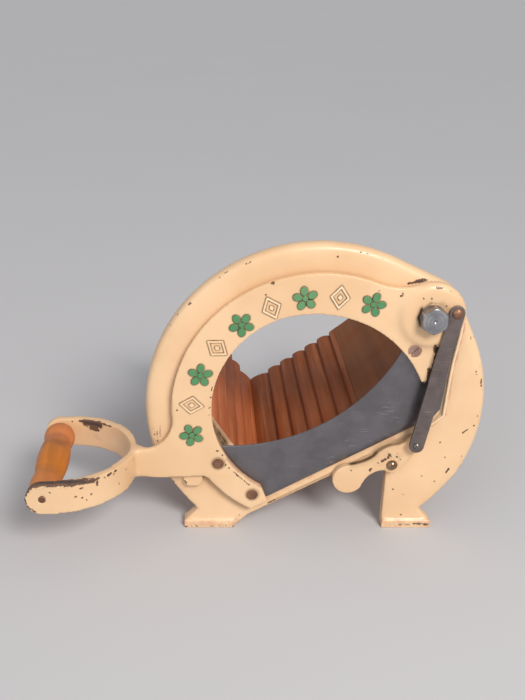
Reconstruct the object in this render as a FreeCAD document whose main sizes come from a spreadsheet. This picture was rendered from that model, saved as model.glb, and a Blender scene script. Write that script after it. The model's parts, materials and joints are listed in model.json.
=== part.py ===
import FreeCAD, Part

import math
import os
from types import SimpleNamespace

import Sketcher

# A bread slicer of the lever kind: a loaf lies in a wooden trough behind a cast ring,
# and a cast bow arm with a steel blade swings down across the ring like a guillotine.
# Lengths are in millimetres and angles in degrees. Z is up, the front faces -Y.
# The sketches use one drawing frame: X = 0 at the centre of the ring, Y = 0 at the
# front face of the casting, Z = 0 at the table. Each piece is then moved so that the
# origin of the whole lies under the middle of its box.

SIZES = {
    # ring, legs and ear of the main casting
    "ring_radius": 148.5,
    "ring_widening": 2.4,
    "ring_height": 122,
    "frame_depth": 12,
    "ring_round": 6,
    "pivot_across": 91.5,
    "pivot_height": 212.5,
    "ear_radius": 28.5,
    "ear_boss_radius": 24,
    "ear_boss_depth": 4,
    "ear_seat_radius": 21,
    "foot_outside": 114.3,
    "foot_inside": 68,
    "toe_height": 6,
    "toe_round": 3,
    "notch_across": 101.5,
    "notch_height": 18.5,
    "notch_round": 2,
    "leg_top_height": 72,
    "leg_bow_radius": 235,
    "leg_pad_height": 60,
    "arch_start_across": -56,
    "arch_start_height": 12.2,
    "arch_lean": 29.1,
    "arch_left_round": 15,
    "arch_right_round": 13,
    "sole_rim_height": 8,
    "sole_rim_depth": 2.5,
    "opening_radius": 108,
    "groove_inside": 114,
    "groove_outside": 142,
    "groove_depth": 6,
    # sunk field of the front
    "recess_depth": 2.5,
    "recess_radius": 119,
    "recess_top_angle": 60,
    "lip_width": 5,
    "recess_corner_across": 106,
    "recess_step_across": 115.5,
    "recess_step_height": 116,
    "recess_side_across": 118,
    "recess_side_height": 164,
    "recess_ear_across": 122,
    "recess_ear_height": 192,
    # trough of the loaf, seen from the front
    "trough_across": -43.3,
    "trough_height": 38.8,
    "left_board_angle": 124.8,
    "left_board_length": 119,
    "left_board_thickness": 12,
    "floor_angle": 34.8,
    "floor_length": 110,
    "floor_thickness": 14,
    "wall_angle": 47,
    "wall_length": 85,
    "wall_bow_radius": 225,
    "wall_thickness": 10,
    "board_length": 225,
    "tooth_depth": 4,
    "tooth_shoulder": 0.7,
    "tooth_radius": 15,
    "first_tooth_radius": 36,
    "left_first_tooth": 16.2,
    "left_last_tooth": 5.6,
    "left_tooth_count": 7,
    "floor_first_tooth": 21.1,
    "floor_last_tooth": 7.9,
    "floor_tooth_count": 6,
    "rim_width": 3,
    "rim_lap": 4,
    "rim_depth": 3,
    # shelves and rear bracket under the boards, and their screws
    "shelf_thickness": 4,
    "shelf_depth": 18,
    "left_shelf_start": 10,
    "left_shelf_end": 100,
    "floor_shelf_start": 66,
    "floor_shelf_end": 102,
    "wall_shelf_start": 20,
    "wall_shelf_end": 50,
    "screw_radius": 2,
    "screw_length": 8,
    "screw_head_radius": 3.8,
    "screw_head_height": 1.8,
    "screw_clearance": 0.05,
    "bracket_front": 210,
    "bracket_thickness": 8,
    "bracket_rim": 14,
    "bracket_foot_width": 30,
    "bracket_foot_spread": 80,
    "bracket_foot_height": 5,
    "bracket_foot_depth": 22,
    "bracket_round": 6,
    # pivot of the arm
    "bolt_radius": 7,
    "bolt_head_flats": 21,
    "bolt_head_height": 9,
    "bolt_chamfer_angle": 30,
    "bolt_dimple_radius": 2.4,
    "bolt_dimple_depth": 1.2,
    "bolt_tail": 2,
    "nut_height": 11,
    "fit": 0.05,
    "end_play": 0.1,
    "bush_radius": 10,
    "thrust_washer_radius": 16,
    "thrust_washer_thickness": 2.2,
    "front_washer_radius": 11.2,
    "front_washer_thickness": 1.7,
    "rear_washer_radius": 14,
    "rear_washer_thickness": 2,
    # bow arm
    "arm_thickness": 6.5,
    "boss_radius": 29.5,
    "boss_thickness": 10,
    "boss_round": 6.5,
    "bow_radius": 126,
    "bow_top_across": 43,
    "boss_blend_radius": 50,
    "boss_top_across": 84,
    "neck_blend_radius": 28,
    "neck_blend_height": 118,
    "neck_top_height": 84,
    "neck_top_across": -147,
    "neck_root_across": -156,
    "neck_low_height": 56.2,
    "neck_low_across": -132,
    "neck_corner_across": -97.6,
    "neck_corner_height": 57.8,
    "bow_low_radius": 114,
    "bow_low_start_across": -92.8,
    "bow_low_start_height": 55.7,
    "bow_end_across": -39.5,
    "bow_end_height": 32,
    "bow_end_length": 16.8,
    "inner_low_across": -45.5,
    "inner_low_height": 47,
    "inner_left_radius": 89,
    "inner_joint_across": -35,
    "inner_joint_height": 207.5,
    "inner_right_radius": 101.7,
    "inner_end_across": 88.5,
    "inner_end_height": 152,
    "horn_tip_across": 92.3,
    "horn_tip_height": 149.7,
    "horn_bow_radius": 120,
    "horn_root_angle": -76,
    # yoke and grip at the end of the arm
    "rod_across": -230,
    "rod_height": 66.3,
    "rod_radius": 3,
    "strap_end_radius": 14.2,
    "strap_thickness": 7,
    "yoke_half_width": 62.4,
    "yoke_radius": 66,
    "yoke_bend_across": -221.2,
    "yoke_web_across": -147.5,
    "yoke_web_depth": 4,
    "grip_play": 0.4,
    "grip_face_radius": 10.5,
    "grip_ball_radius": 16,
    "grip_ball_length": 17.5,
    "grip_waist_radius": 12.3,
    "grip_waist_length": 7.5,
    "grip_waist_bow": 8,
    "grip_bulge_bow": 172,
    "grip_groove_place": 21,
    "grip_groove_width": 3,
    "grip_groove_depth": 0.6,
    "grip_flare_length": 14,
    "grip_flare_bow": 40,
    "grip_collar_radius": 13.6,
    # blade and what holds it
    "blade_thickness": 2,
    "blade_gap": 0.3,
    "blade_top_radius": 161.4,
    "blade_left_across": -96,
    "blade_left_height": 86,
    "blade_top_across": 77,
    "blade_top_drop": 22,
    "blade_horn_across": 108,
    "blade_horn_drop": 20.5,
    "blade_shoulder_across": 114.8,
    "blade_shoulder_height": 176,
    "blade_right_across": 110,
    "blade_right_height": 122,
    "blade_corner_across": 105,
    "blade_corner_height": 114.3,
    "blade_edge_angle": 29.6,
    "blade_edge_length": 174.8,
    "blade_back_across": -70,
    "blade_back_height": 40,
    "blade_side_across": -93,
    "blade_side_height": 62,
    "blade_bevel_width": 5,
    "blade_bevel_depth": 1.5,
    "upper_rivet_across": -84.5,
    "upper_rivet_height": 70.3,
    "lower_rivet_across": -53.5,
    "lower_rivet_height": 38.7,
    "rivet_radius": 3,
    "rivet_head_radius": 5.3,
    "rivet_sink": 2.3,
    "blade_screw_across": 80.5,
    "blade_screw_drop": 31.8,
    "blade_screw_head_radius": 6,
    "blade_screw_slot_width": 1.4,
    "blade_screw_slot_depth": 1.2,
    "blade_screw_slot_angle": 45,
    # link bar
    "link_top_across": 19.8,
    "link_top_height": 4.8,
    "link_thickness": 3,
    "link_half_width": 6.6,
    "link_gap": 0.3,
    "top_pin_radius": 3,
    "top_pin_head_radius": 5,
    "top_pin_head_height": 2.8,
    "top_pin_depth": 8,
    "lower_pin_radius": 2.3,
    "lower_pin_head_radius": 3.5,
    "lower_pin_head_height": 2.2,
    "lower_pin_gap": 0.4,
    # stop lever
    "lever_pivot_across": 70.8,
    "lever_pivot_height": 69.3,
    "lever_crank_across": 18.6,
    "lever_crank_height": 23.2,
    "lever_thickness": 7,
    "lever_crank_radius": 7,
    "lever_eye_radius": 4.25,
    "lever_pivot_radius": 8.2,
    "lever_washer_radius": 7,
    "lever_washer_thickness": 0.7,
    "lever_pin_radius": 3,
    "lever_pin_head_radius": 5.2,
    "lever_pin_head_height": 4,
    "lever_pin_tail_height": 2,
    "paddle_across": 32.4,
    "paddle_height": 54.1,
    "paddle_radius": 14,
    "paddle_low_angle": -35,
    "lever_nape_angle": 150,
    "lever_low_angle": 222,
    "lever_waist_across": 54.4,
    "lever_waist_height": 76.9,
    "lever_waist_radius": 45,
    "lever_hump_across": 74,
    "lever_hump_height": 88.9,
    "lever_hump_radius": 25,
    "lever_nape_radius": 14,
    "lever_throat_across": 47.2,
    "lever_throat_height": 53.3,
    "lever_throat_radius": 21,
    # stop lug on the casting, under the neck of the arm
    "lug_left": -115,
    "lug_right": -98,
    "lug_height": 12,
    "lug_depth": 5,
    "lug_gap": 0.2,
    "lug_round": 6,
}

document = FreeCAD.newDocument("lever_slicer")
SHEET = "Sizes"
EXTRA = 40
HALF_TURN = 180
X_AXIS = FreeCAD.Vector(1, 0, 0)
Y_AXIS = FreeCAD.Vector(0, 1, 0)
subparts = []


class Size:
    """A number together with the text that works it out from the cells of the sheet."""

    def __init__(self, value, text):
        self.value = float(value)
        self.text = text

    def __add__(self, other):
        other = as_size(other)
        return Size(self.value + other.value, "(%s + %s)" % (self.text, other.text))

    def __sub__(self, other):
        other = as_size(other)
        return Size(self.value - other.value, "(%s - %s)" % (self.text, other.text))

    def __mul__(self, other):
        other = as_size(other)
        return Size(self.value * other.value, "(%s * %s)" % (self.text, other.text))

    def __truediv__(self, other):
        other = as_size(other)
        return Size(self.value / other.value, "(%s / %s)" % (self.text, other.text))

    def __neg__(self):
        return Size(-self.value, "(0 - %s)" % self.text)

    def __radd__(self, other):
        return as_size(other) + self

    def __rsub__(self, other):
        return as_size(other) - self

    def __rmul__(self, other):
        return as_size(other) * self

    def __rtruediv__(self, other):
        return as_size(other) / self


def as_size(item):
    """A plain number as a Size, a Size as it is."""
    if isinstance(item, Size):
        return item
    return Size(item, "(%s)" % repr(float(item)))


def root(item):
    item = as_size(item)
    return Size(math.sqrt(item.value), "sqrt(%s)" % item.text)


def cosine(item):
    item = as_size(item)
    return Size(math.cos(math.radians(item.value)), "cos(%s)" % item.text)


def sine(item):
    item = as_size(item)
    return Size(math.sin(math.radians(item.value)), "sin(%s)" % item.text)


def tangent(item):
    return sine(item) / cosine(item)


def make_sheet():
    """Write each driving size into the sheet under its own name."""
    sheet = document.addObject("Spreadsheet::Sheet", SHEET)
    for row, (name, number) in enumerate(SIZES.items(), start=1):
        sheet.set("A%d" % row, name)
        sheet.set("B%d" % row, str(number))
        sheet.setAlias("B%d" % row, name)
    document.recompute()


make_sheet()
s = SimpleNamespace(**{name: Size(number, "%s.%s" % (SHEET, name)) for name, number in SIZES.items()})


# Points of the drawing are pairs of sizes, directions are pairs of length one.

def heading(angle):
    return (cosine(angle), sine(angle))


def square(item):
    return item * item


def toward(start, end):
    """The direction from one point to another, and the distance."""
    across = end[0] - start[0]
    up = end[1] - start[1]
    reach = root(square(across) + square(up))
    return (across / reach, up / reach), reach


def go(start, direction, along, left=0):
    """The point reached by going along a direction, then square to it on its left."""
    return (
        start[0] + direction[0] * along - direction[1] * left,
        start[1] + direction[1] * along + direction[0] * left,
    )


def lean(direction, cosine_part, sine_part):
    """A direction turned anticlockwise by an angle known by its cosine and sine."""
    return (
        direction[0] * cosine_part - direction[1] * sine_part,
        direction[0] * sine_part + direction[1] * cosine_part,
    )


def meet_circle(start, direction, centre, radius):
    """Where a line leaves a circle that it starts inside."""
    across = start[0] - centre[0]
    up = start[1] - centre[1]
    along = across * direction[0] + up * direction[1]
    reach = root(square(along) - square(across) - square(up) + square(radius)) - along
    return go(start, direction, reach)


RING = (as_size(0), s.ring_height)
PIVOT = (s.pivot_across, s.pivot_height)
TROUGH = (s.trough_across, s.trough_height)
LEFT_WAY = heading(s.left_board_angle)
FLOOR_WAY = heading(s.floor_angle)
WALL_WAY = heading(s.wall_angle)
FLOOR_END = go(TROUGH, FLOOR_WAY, s.floor_length)
ARCH_WAY = heading(s.arch_lean)
ARCH_START = (s.arch_start_across, s.arch_start_height)
LINK_TOP = (s.pivot_across + s.link_top_across, s.pivot_height + s.link_top_height)
LEVER_PIVOT = (s.lever_pivot_across, s.lever_pivot_height)
LEVER_CRANK = (s.lever_pivot_across + s.lever_crank_across, s.lever_pivot_height + s.lever_crank_height)
ROD = (s.rod_across, s.rod_height)

# Layers from the casting's front face at Y = 0 toward the viewer.
BLADE_REAR = -s.blade_gap
ARM_REAR = BLADE_REAR - s.blade_thickness
ARM_FRONT = ARM_REAR - s.arm_thickness
BOSS_FRONT = ARM_REAR - s.boss_thickness
BUSH_FRONT = BOSS_FRONT - s.end_play
HEAD_REAR = BUSH_FRONT - s.front_washer_thickness
LINK_REAR = BOSS_FRONT - s.link_gap
LINK_FRONT = LINK_REAR - s.link_thickness
LEVER_REAR = -(s.lever_washer_thickness + s.end_play)
LEVER_FRONT = LEVER_REAR - s.lever_thickness
EAR_REAR = s.frame_depth + s.ear_boss_depth
BOARD_FRONT = s.frame_depth + s.rim_depth
BOARD_REAR = BOARD_FRONT + s.board_length
BRACKET_REAR = s.bracket_front + s.bracket_thickness

# The shared origin lies under the middle of the whole: from the grip's end to the
# ring's right edge, and from the yoke's near strap to the far end of the boards.
ORIGIN_ACROSS = (s.ring_radius + s.ring_widening + s.rod_across - s.strap_end_radius) / 2
ORIGIN_DEPTH = (BOARD_REAR - s.yoke_half_width) / 2


def bind(item, name, size):
    item.setExpression(name, as_size(size).text)


def place(item, across=0, depth=0, height=0, axis=Y_AXIS, angle=0):
    """Turn an item about an axis through its own origin and put that origin at a point."""
    angle = as_size(angle)
    item.Placement = FreeCAD.Placement(FreeCAD.Vector(0, 0, 0), FreeCAD.Rotation(axis, angle.value))
    bind(item, "Placement.Base.x", across - ORIGIN_ACROSS)
    bind(item, "Placement.Base.y", depth - ORIGIN_DEPTH)
    bind(item, "Placement.Base.z", height)
    if angle.value:
        bind(item, "Placement.Rotation.Angle", angle)


def new_body(label, keep=True):
    body = document.addObject("PartDesign::Body", label)
    body.Label = label
    place(body)
    if keep:
        subparts.append(body)
    return body


def new_sketch(body, name, plane="XZ_Plane", height=0, centre=(0, 0)):
    """A sketch on one of the body's own planes, moved along the plane's normal."""
    support = [item for item in body.Origin.OriginFeatures if item.Role == plane][0]
    sketch = body.newObject("Sketcher::SketchObject", name)
    sketch.AttachmentSupport = [(support, "")]
    sketch.MapMode = "FlatFace"
    bind(sketch, "AttachmentOffset.Base.x", centre[0])
    bind(sketch, "AttachmentOffset.Base.y", centre[1])
    bind(sketch, "AttachmentOffset.Base.z", height)
    return sketch


def fix_point(sketch, curve, spot, point):
    """Hold one end of a curve at a point given in sizes."""
    for kind, axis, size in (("DistanceX", -2, point[0]), ("DistanceY", -1, point[1])):
        size = as_size(size)
        if size.text == "(0.0)":
            sketch.addConstraint(Sketcher.Constraint("PointOnObject", curve, spot, axis))
        else:
            row = sketch.addConstraint(Sketcher.Constraint(kind, -1, 1, curve, spot, size.value))
            bind(sketch, "Constraints[%d]" % row, size)


def fix_radius(sketch, curve, radius):
    row = sketch.addConstraint(Sketcher.Constraint("Radius", curve, radius.value))
    bind(sketch, "Constraints[%d]" % row, radius)


def plain(point):
    return FreeCAD.Vector(as_size(point[0]).value, as_size(point[1]).value, 0)


def draw_arc(sketch, start, end, radius, turns_left, long_way):
    """An arc between two points. It runs anticlockwise where it turns left."""
    chord = end - start
    across = math.sqrt(max(radius.value ** 2 - (chord.Length / 2) ** 2, 0))
    side = 1 if turns_left != long_way else -1
    normal = FreeCAD.Vector(-chord.y, chord.x, 0).normalize()
    centre = (start + end) * 0.5 + normal * (side * across)
    first, last = (start, end) if turns_left else (end, start)
    angles = [math.atan2(spot.y - centre.y, spot.x - centre.x) for spot in (first, last)]
    circle = Part.Circle(centre, FreeCAD.Vector(0, 0, 1), radius.value)
    curve = sketch.addGeometry(Part.ArcOfCircle(circle, angles[0], angles[1]))
    fix_radius(sketch, curve, radius)
    return curve, (1, 2) if turns_left else (2, 1)


def draw_outline(sketch, corners):
    """A closed outline through its corners. A corner with a third value is followed by
    an arc of that radius, which turns left where the radius is positive and right where
    it is negative. A fourth value marks an arc of more than half a turn."""
    curves = []
    for index, corner in enumerate(corners):
        start = plain(corner)
        end = plain(corners[(index + 1) % len(corners)])
        if len(corner) > 2:
            radius = corner[2]
            turns_left = radius.value > 0
            size = radius if turns_left else -radius
            curves.append(draw_arc(sketch, start, end, size, turns_left, len(corner) > 3))
        else:
            curves.append((sketch.addGeometry(Part.LineSegment(start, end)), (1, 2)))
    for index, (curve, ends) in enumerate(curves):
        following, following_ends = curves[(index + 1) % len(curves)]
        link = Sketcher.Constraint("Coincident", curve, ends[1], following, following_ends[0])
        sketch.addConstraint(link)
        fix_point(sketch, curve, ends[0], corners[index])


def draw_circle(sketch, centre, radius):
    radius = as_size(radius)
    circle = Part.Circle(plain(centre), FreeCAD.Vector(0, 0, 1), radius.value)
    curve = sketch.addGeometry(circle)
    fix_radius(sketch, curve, radius)
    fix_point(sketch, curve, 3, centre)


def draw(sketch, shapes):
    """Draw each shape: a list of corners, or a circle given as (centre, radius)."""
    for shape in shapes:
        if isinstance(shape, list):
            draw_outline(sketch, shape)
        else:
            draw_circle(sketch, shape[0], shape[1])


volumes = {}


def grown(body, feature):
    """Recompute and make sure that a feature changed the body's volume."""
    document.recompute()
    volume = 0 if feature.Shape.isNull() else feature.Shape.Volume
    if "Invalid" in feature.State or abs(volume - volumes.get(body.Name, 0)) < 0.01:
        raise RuntimeError("%s of %s changed nothing" % (feature.Name, body.Label))
    volumes[body.Name] = volume
    body.Tip = feature
    return feature


def pad(body, name, shapes, front, rear):
    """Material between two depths."""
    sketch = new_sketch(body, name + "Sketch", height=-as_size(rear))
    draw(sketch, shapes)
    feature = body.newObject("PartDesign::Pad", name)
    feature.Profile = sketch
    bind(feature, "Length", rear - front)
    return grown(body, feature)


def pad_up(body, name, shapes, low, high):
    """Material between two heights."""
    sketch = new_sketch(body, name + "Sketch", "XY_Plane", low)
    draw(sketch, shapes)
    feature = body.newObject("PartDesign::Pad", name)
    feature.Profile = sketch
    bind(feature, "Length", high - low)
    return grown(body, feature)


def pocket(body, name, shapes, front, rear):
    """Take material away between two depths."""
    sketch = new_sketch(body, name + "Sketch", height=-as_size(front))
    draw(sketch, shapes)
    feature = body.newObject("PartDesign::Pocket", name)
    feature.Profile = sketch
    bind(feature, "Length", rear - front)
    return grown(body, feature)


def pocket_down(body, name, shapes, high, depth, upward=False):
    """Take material away below a height, or above it where it goes upward."""
    sketch = new_sketch(body, name + "Sketch", "XY_Plane", high)
    draw(sketch, shapes)
    feature = body.newObject("PartDesign::Pocket", name)
    feature.Profile = sketch
    feature.Reversed = upward
    bind(feature, "Length", depth)
    return grown(body, feature)


ADDED = "PartDesign::Revolution"
CUT_OUT = "PartDesign::Groove"


def revolve(body, name, corners, kind=ADDED, at=None):
    """Turn an outline of (radius, height) about the body's own upright axis, or one of
    (radius, depth) about the line that runs straight back through a point."""
    if at:
        sketch = new_sketch(body, name + "Sketch", "XY_Plane", at[1], (at[0], 0))
    else:
        sketch = new_sketch(body, name + "Sketch")
    draw_outline(sketch, corners)
    feature = body.newObject(kind, name)
    feature.Profile = sketch
    feature.ReferenceAxis = (sketch, ["V_Axis"])
    feature.Angle = 2 * HALF_TURN
    return grown(body, feature)


def round_edges(body, name, radius, chosen):
    """Round the edges of the body's last feature for which chosen(edge) is true."""
    base = body.Tip
    names = ["Edge%d" % (index + 1) for index, edge in enumerate(base.Shape.Edges) if chosen(edge)]
    if not names:
        raise RuntimeError("%s of %s finds no edge" % (name, body.Label))
    feature = body.newObject("PartDesign::Fillet", name)
    feature.Base = (base, names)
    bind(feature, "Radius", radius)
    return grown(body, feature)


def upright_at(*points):
    """True for an edge that runs straight back through one of the drawn points."""
    spots = [plain(point) for point in points]

    def chosen(edge):
        ends = [vertex.Point for vertex in edge.Vertexes]
        if len(ends) != 2 or abs(ends[0].x - ends[1].x) + abs(ends[0].z - ends[1].z) > 0.01:
            return False
        return any(abs(ends[0].x - spot.x) + abs(ends[0].z - spot.y) < 0.02 for spot in spots)

    return chosen


def lying_at(depth):
    """True for an edge that lies in the plane at one depth."""
    depth = as_size(depth).value
    return lambda edge: edge.BoundBox.YMin > depth - 0.01 and edge.BoundBox.YMax < depth + 0.01


def turned(label, corners, across, depth, height, keep=True, axis=X_AXIS, angle=90):
    """A piece turned about its own axis. Its heights count toward the viewer."""
    body = new_body(label, keep)
    revolve(body, "Turning", corners)
    place(body, across, depth, height, axis, angle)
    return body


def group(label, pieces):
    """Several like pieces as one sub-part."""
    compound = document.addObject("Part::Compound", label)
    compound.Label = label
    compound.Links = pieces
    subparts.append(compound)
    return compound


def box(left, right, low, high):
    return [(left, low), (right, low), (right, high), (left, high)]


def ring_of(inside, outside, low, high):
    """The section of a washer or bush."""
    return [(inside, low), (outside, low), (outside, high), (inside, high)]


def hexagon(flats):
    """Six corners, one of them at the top."""
    middle = (as_size(0), as_size(0))
    angles = [HALF_TURN * (0.5 + index / 3) for index in range(6)]
    return [go(middle, heading(angle), flats / math.sqrt(3)) for angle in angles]


# The three boards of the trough. Each starts at a corner of the trough's section and
# runs one way from it. The side says where its underside lies: 1 on the left of that way.

LEFT_BOARD = SimpleNamespace(
    start=TROUGH, way=LEFT_WAY, side=1, turn=-s.left_board_angle, thickness=s.left_board_thickness,
    shelf=(s.left_shelf_start, s.left_shelf_end), screws=3)
FLOOR_BOARD = SimpleNamespace(
    start=TROUGH, way=FLOOR_WAY, side=-1, turn=-s.floor_angle, thickness=s.floor_thickness,
    shelf=(s.floor_shelf_start, s.floor_shelf_end), screws=2)
WALL_BOARD = SimpleNamespace(
    start=FLOOR_END, way=WALL_WAY, side=-1, turn=-s.wall_angle, thickness=s.wall_thickness,
    shelf=(s.wall_shelf_start, s.wall_shelf_end), screws=2)
BOARDS = (LEFT_BOARD, FLOOR_BOARD, WALL_BOARD)
FRONT_SCREW_DEPTH = s.frame_depth + s.shelf_depth / 2
REAR_SCREW_DEPTH = BRACKET_REAR + s.shelf_depth / 2


def shelf(board):
    """The section of a ledge that lies against the underside of a board."""
    start, end = board.shelf
    near = board.thickness * board.side
    far = (board.thickness + s.shelf_thickness) * board.side
    return [
        go(board.start, board.way, start, near),
        go(board.start, board.way, end, near),
        go(board.start, board.way, end, far),
        go(board.start, board.way, start, far),
    ]


def screw_steps(board):
    """How far along a board each of its screws stands: evenly shared over the ledge."""
    start, end = board.shelf
    share = (end - start) / board.screws
    return [start + share * (row + 0.5) for row in range(board.screws)]


def drill_shelves(body, depth):
    """Screw holes through the ledges of a casting, square to the boards."""
    for row, board in enumerate(BOARDS, start=1):
        under = (board.thickness + s.shelf_thickness) * board.side
        start = go(board.start, board.way, 0, under)
        sketch = new_sketch(body, "LedgeHoles%dSketch" % row, "XY_Plane", start[1], (start[0], 0))
        turn = FreeCAD.Rotation(Y_AXIS, board.turn.value)
        sketch.AttachmentOffset = FreeCAD.Placement(sketch.AttachmentOffset.Base, turn)
        bind(sketch, "AttachmentOffset.Rotation.Angle", board.turn)
        for step in screw_steps(board):
            draw_circle(sketch, (step, depth), s.screw_radius + s.screw_clearance)
        feature = body.newObject("PartDesign::Pocket", "LedgeHoles%d" % row)
        feature.Profile = sketch
        feature.Reversed = board.side < 0
        bind(feature, "Length", s.shelf_thickness)
        grown(body, feature)


def make_board_screws(label, depth):
    """The screws that hold the boards on one casting: round heads under its ledges."""
    cap = (square(s.screw_head_radius) + square(s.screw_head_height)) / (2 * s.screw_head_height)
    section = [
        (0, -s.screw_length),
        (s.screw_radius, -s.screw_length),
        (s.screw_radius, 0),
        (s.screw_head_radius, 0, cap),
        (0, s.screw_head_height),
    ]
    screws = []
    for board in BOARDS:
        for step in screw_steps(board):
            under = (board.thickness + s.shelf_thickness) * board.side
            spot = go(board.start, board.way, step, under)
            name = "%s_%d" % (label, len(screws) + 1)
            tilt = board.turn if board.side > 0 else board.turn + HALF_TURN
            screws.append(turned(name, section, spot[0], depth, spot[1], False, Y_AXIS, tilt))
    group(label, screws)


# Main casting

def touching_line(centre, side):
    """The line that touches the ring and the ear, above them (1) or below them (-1)."""
    way, reach = toward(centre, PIVOT)
    cosine_part = (s.ring_radius - s.ear_radius) / reach
    square_way = lean(way, cosine_part, side * root(1 - square(cosine_part)))
    return go(centre, square_way, s.ring_radius), go(PIVOT, square_way, s.ear_radius)


def frame_outline():
    """The ring with the pivot's ear. Its right half stands a little further out."""
    right_centre = (s.ring_widening, s.ring_height)
    low = s.ring_height - s.ring_radius
    left, high_ear = touching_line(RING, 1)
    right, low_ear = touching_line(right_centre, -1)
    return [
        (left[0], left[1], s.ring_radius, True),
        (0, low),
        (s.ring_widening, low, s.ring_radius),
        right,
        (low_ear[0], low_ear[1], s.ear_radius),
        high_ear,
    ]


def arch_point(across):
    """The point of the arch's sloping edge at a distance across."""
    return (across, s.arch_start_height + (across - s.arch_start_across) * tangent(s.arch_lean))


def below_frame():
    """All that is cut away below the ring: outside the legs and under the arch."""
    wide = s.ring_radius + EXTRA
    deep = s.ring_height - s.ring_radius - EXTRA
    leg_top = root(square(s.ring_radius) - square(s.ring_height - s.leg_top_height))
    arch_top = arch_point(s.foot_inside)
    return [
        (wide, s.leg_top_height),
        (leg_top + s.ring_widening, s.leg_top_height, -s.leg_bow_radius),
        (s.notch_across, s.notch_height),
        (s.foot_outside, s.toe_height),
        (s.foot_outside, 0),
        (s.foot_inside, 0),
        arch_top,
        ARCH_START,
        (-s.foot_inside, 0),
        (-s.foot_outside, 0),
        (-s.foot_outside, s.toe_height),
        (-s.notch_across, s.notch_height, -s.leg_bow_radius),
        (-leg_top, s.leg_top_height),
        (-wide, s.leg_top_height),
        (-wide, deep),
        (wide, deep),
    ]


def trough_corner(gap):
    """The corner of the trough, moved out by a gap square to both of its boards."""
    across = FLOOR_WAY[1] - LEFT_WAY[1]
    up = LEFT_WAY[0] - FLOOR_WAY[0]
    shared = 1 - LEFT_WAY[1] * FLOOR_WAY[1] - LEFT_WAY[0] * FLOOR_WAY[0]
    return (TROUGH[0] + across * gap / shared, TROUGH[1] + up * gap / shared)


def loaf_opening():
    """The opening of the ring: its circle above, and below it the trough with room
    for the rim."""
    corner = trough_corner(s.rim_width)
    left_end = meet_circle(corner, LEFT_WAY, RING, s.opening_radius)
    floor_end = go(FLOOR_END, FLOOR_WAY, 0, -s.rim_width)
    right_end = meet_circle(FLOOR_END, WALL_WAY, RING, s.opening_radius)
    return [
        corner,
        (floor_end[0], floor_end[1], s.wall_bow_radius),
        (right_end[0], right_end[1], s.opening_radius),
        left_end,
    ]


def board_rim():
    """The rim behind the opening, which covers the front ends of two boards."""
    wide = s.rim_width + s.rim_lap
    left_end = meet_circle(TROUGH, LEFT_WAY, RING, s.opening_radius)
    reach = toward(TROUGH, left_end)[1]
    return [
        TROUGH,
        FLOOR_END,
        go(FLOOR_END, FLOOR_WAY, 0, -wide),
        trough_corner(wide),
        go(TROUGH, LEFT_WAY, reach, wide),
        left_end,
    ]


def sunk_field():
    """The sunk field of the front, inside a rim, a step on the right and a lip below."""
    lip = s.lip_width / cosine(s.arch_lean)
    corner = (s.recess_corner_across, arch_point(s.recess_corner_across)[1] + lip)
    back = (-ARCH_WAY[0], -ARCH_WAY[1])
    low_left = meet_circle(corner, back, RING, s.recess_radius)
    top = go(RING, heading(s.recess_top_angle), s.recess_radius)
    return [
        corner,
        (s.recess_step_across, s.recess_step_height),
        (s.recess_side_across, s.recess_side_height),
        (s.recess_ear_across, s.recess_ear_height),
        (s.pivot_across + s.ear_seat_radius, s.pivot_height),
        (top[0], top[1], s.recess_radius),
        (-s.recess_radius, s.ring_height, s.recess_radius),
        low_left,
    ]


def neck_low_point(across):
    """The underside of the arm's neck, which the stop lug meets."""
    rise = s.neck_corner_height - s.neck_low_height
    slope = rise / (s.neck_corner_across - s.neck_low_across)
    return (across, s.neck_low_height + (across - s.neck_low_across) * slope)


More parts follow.
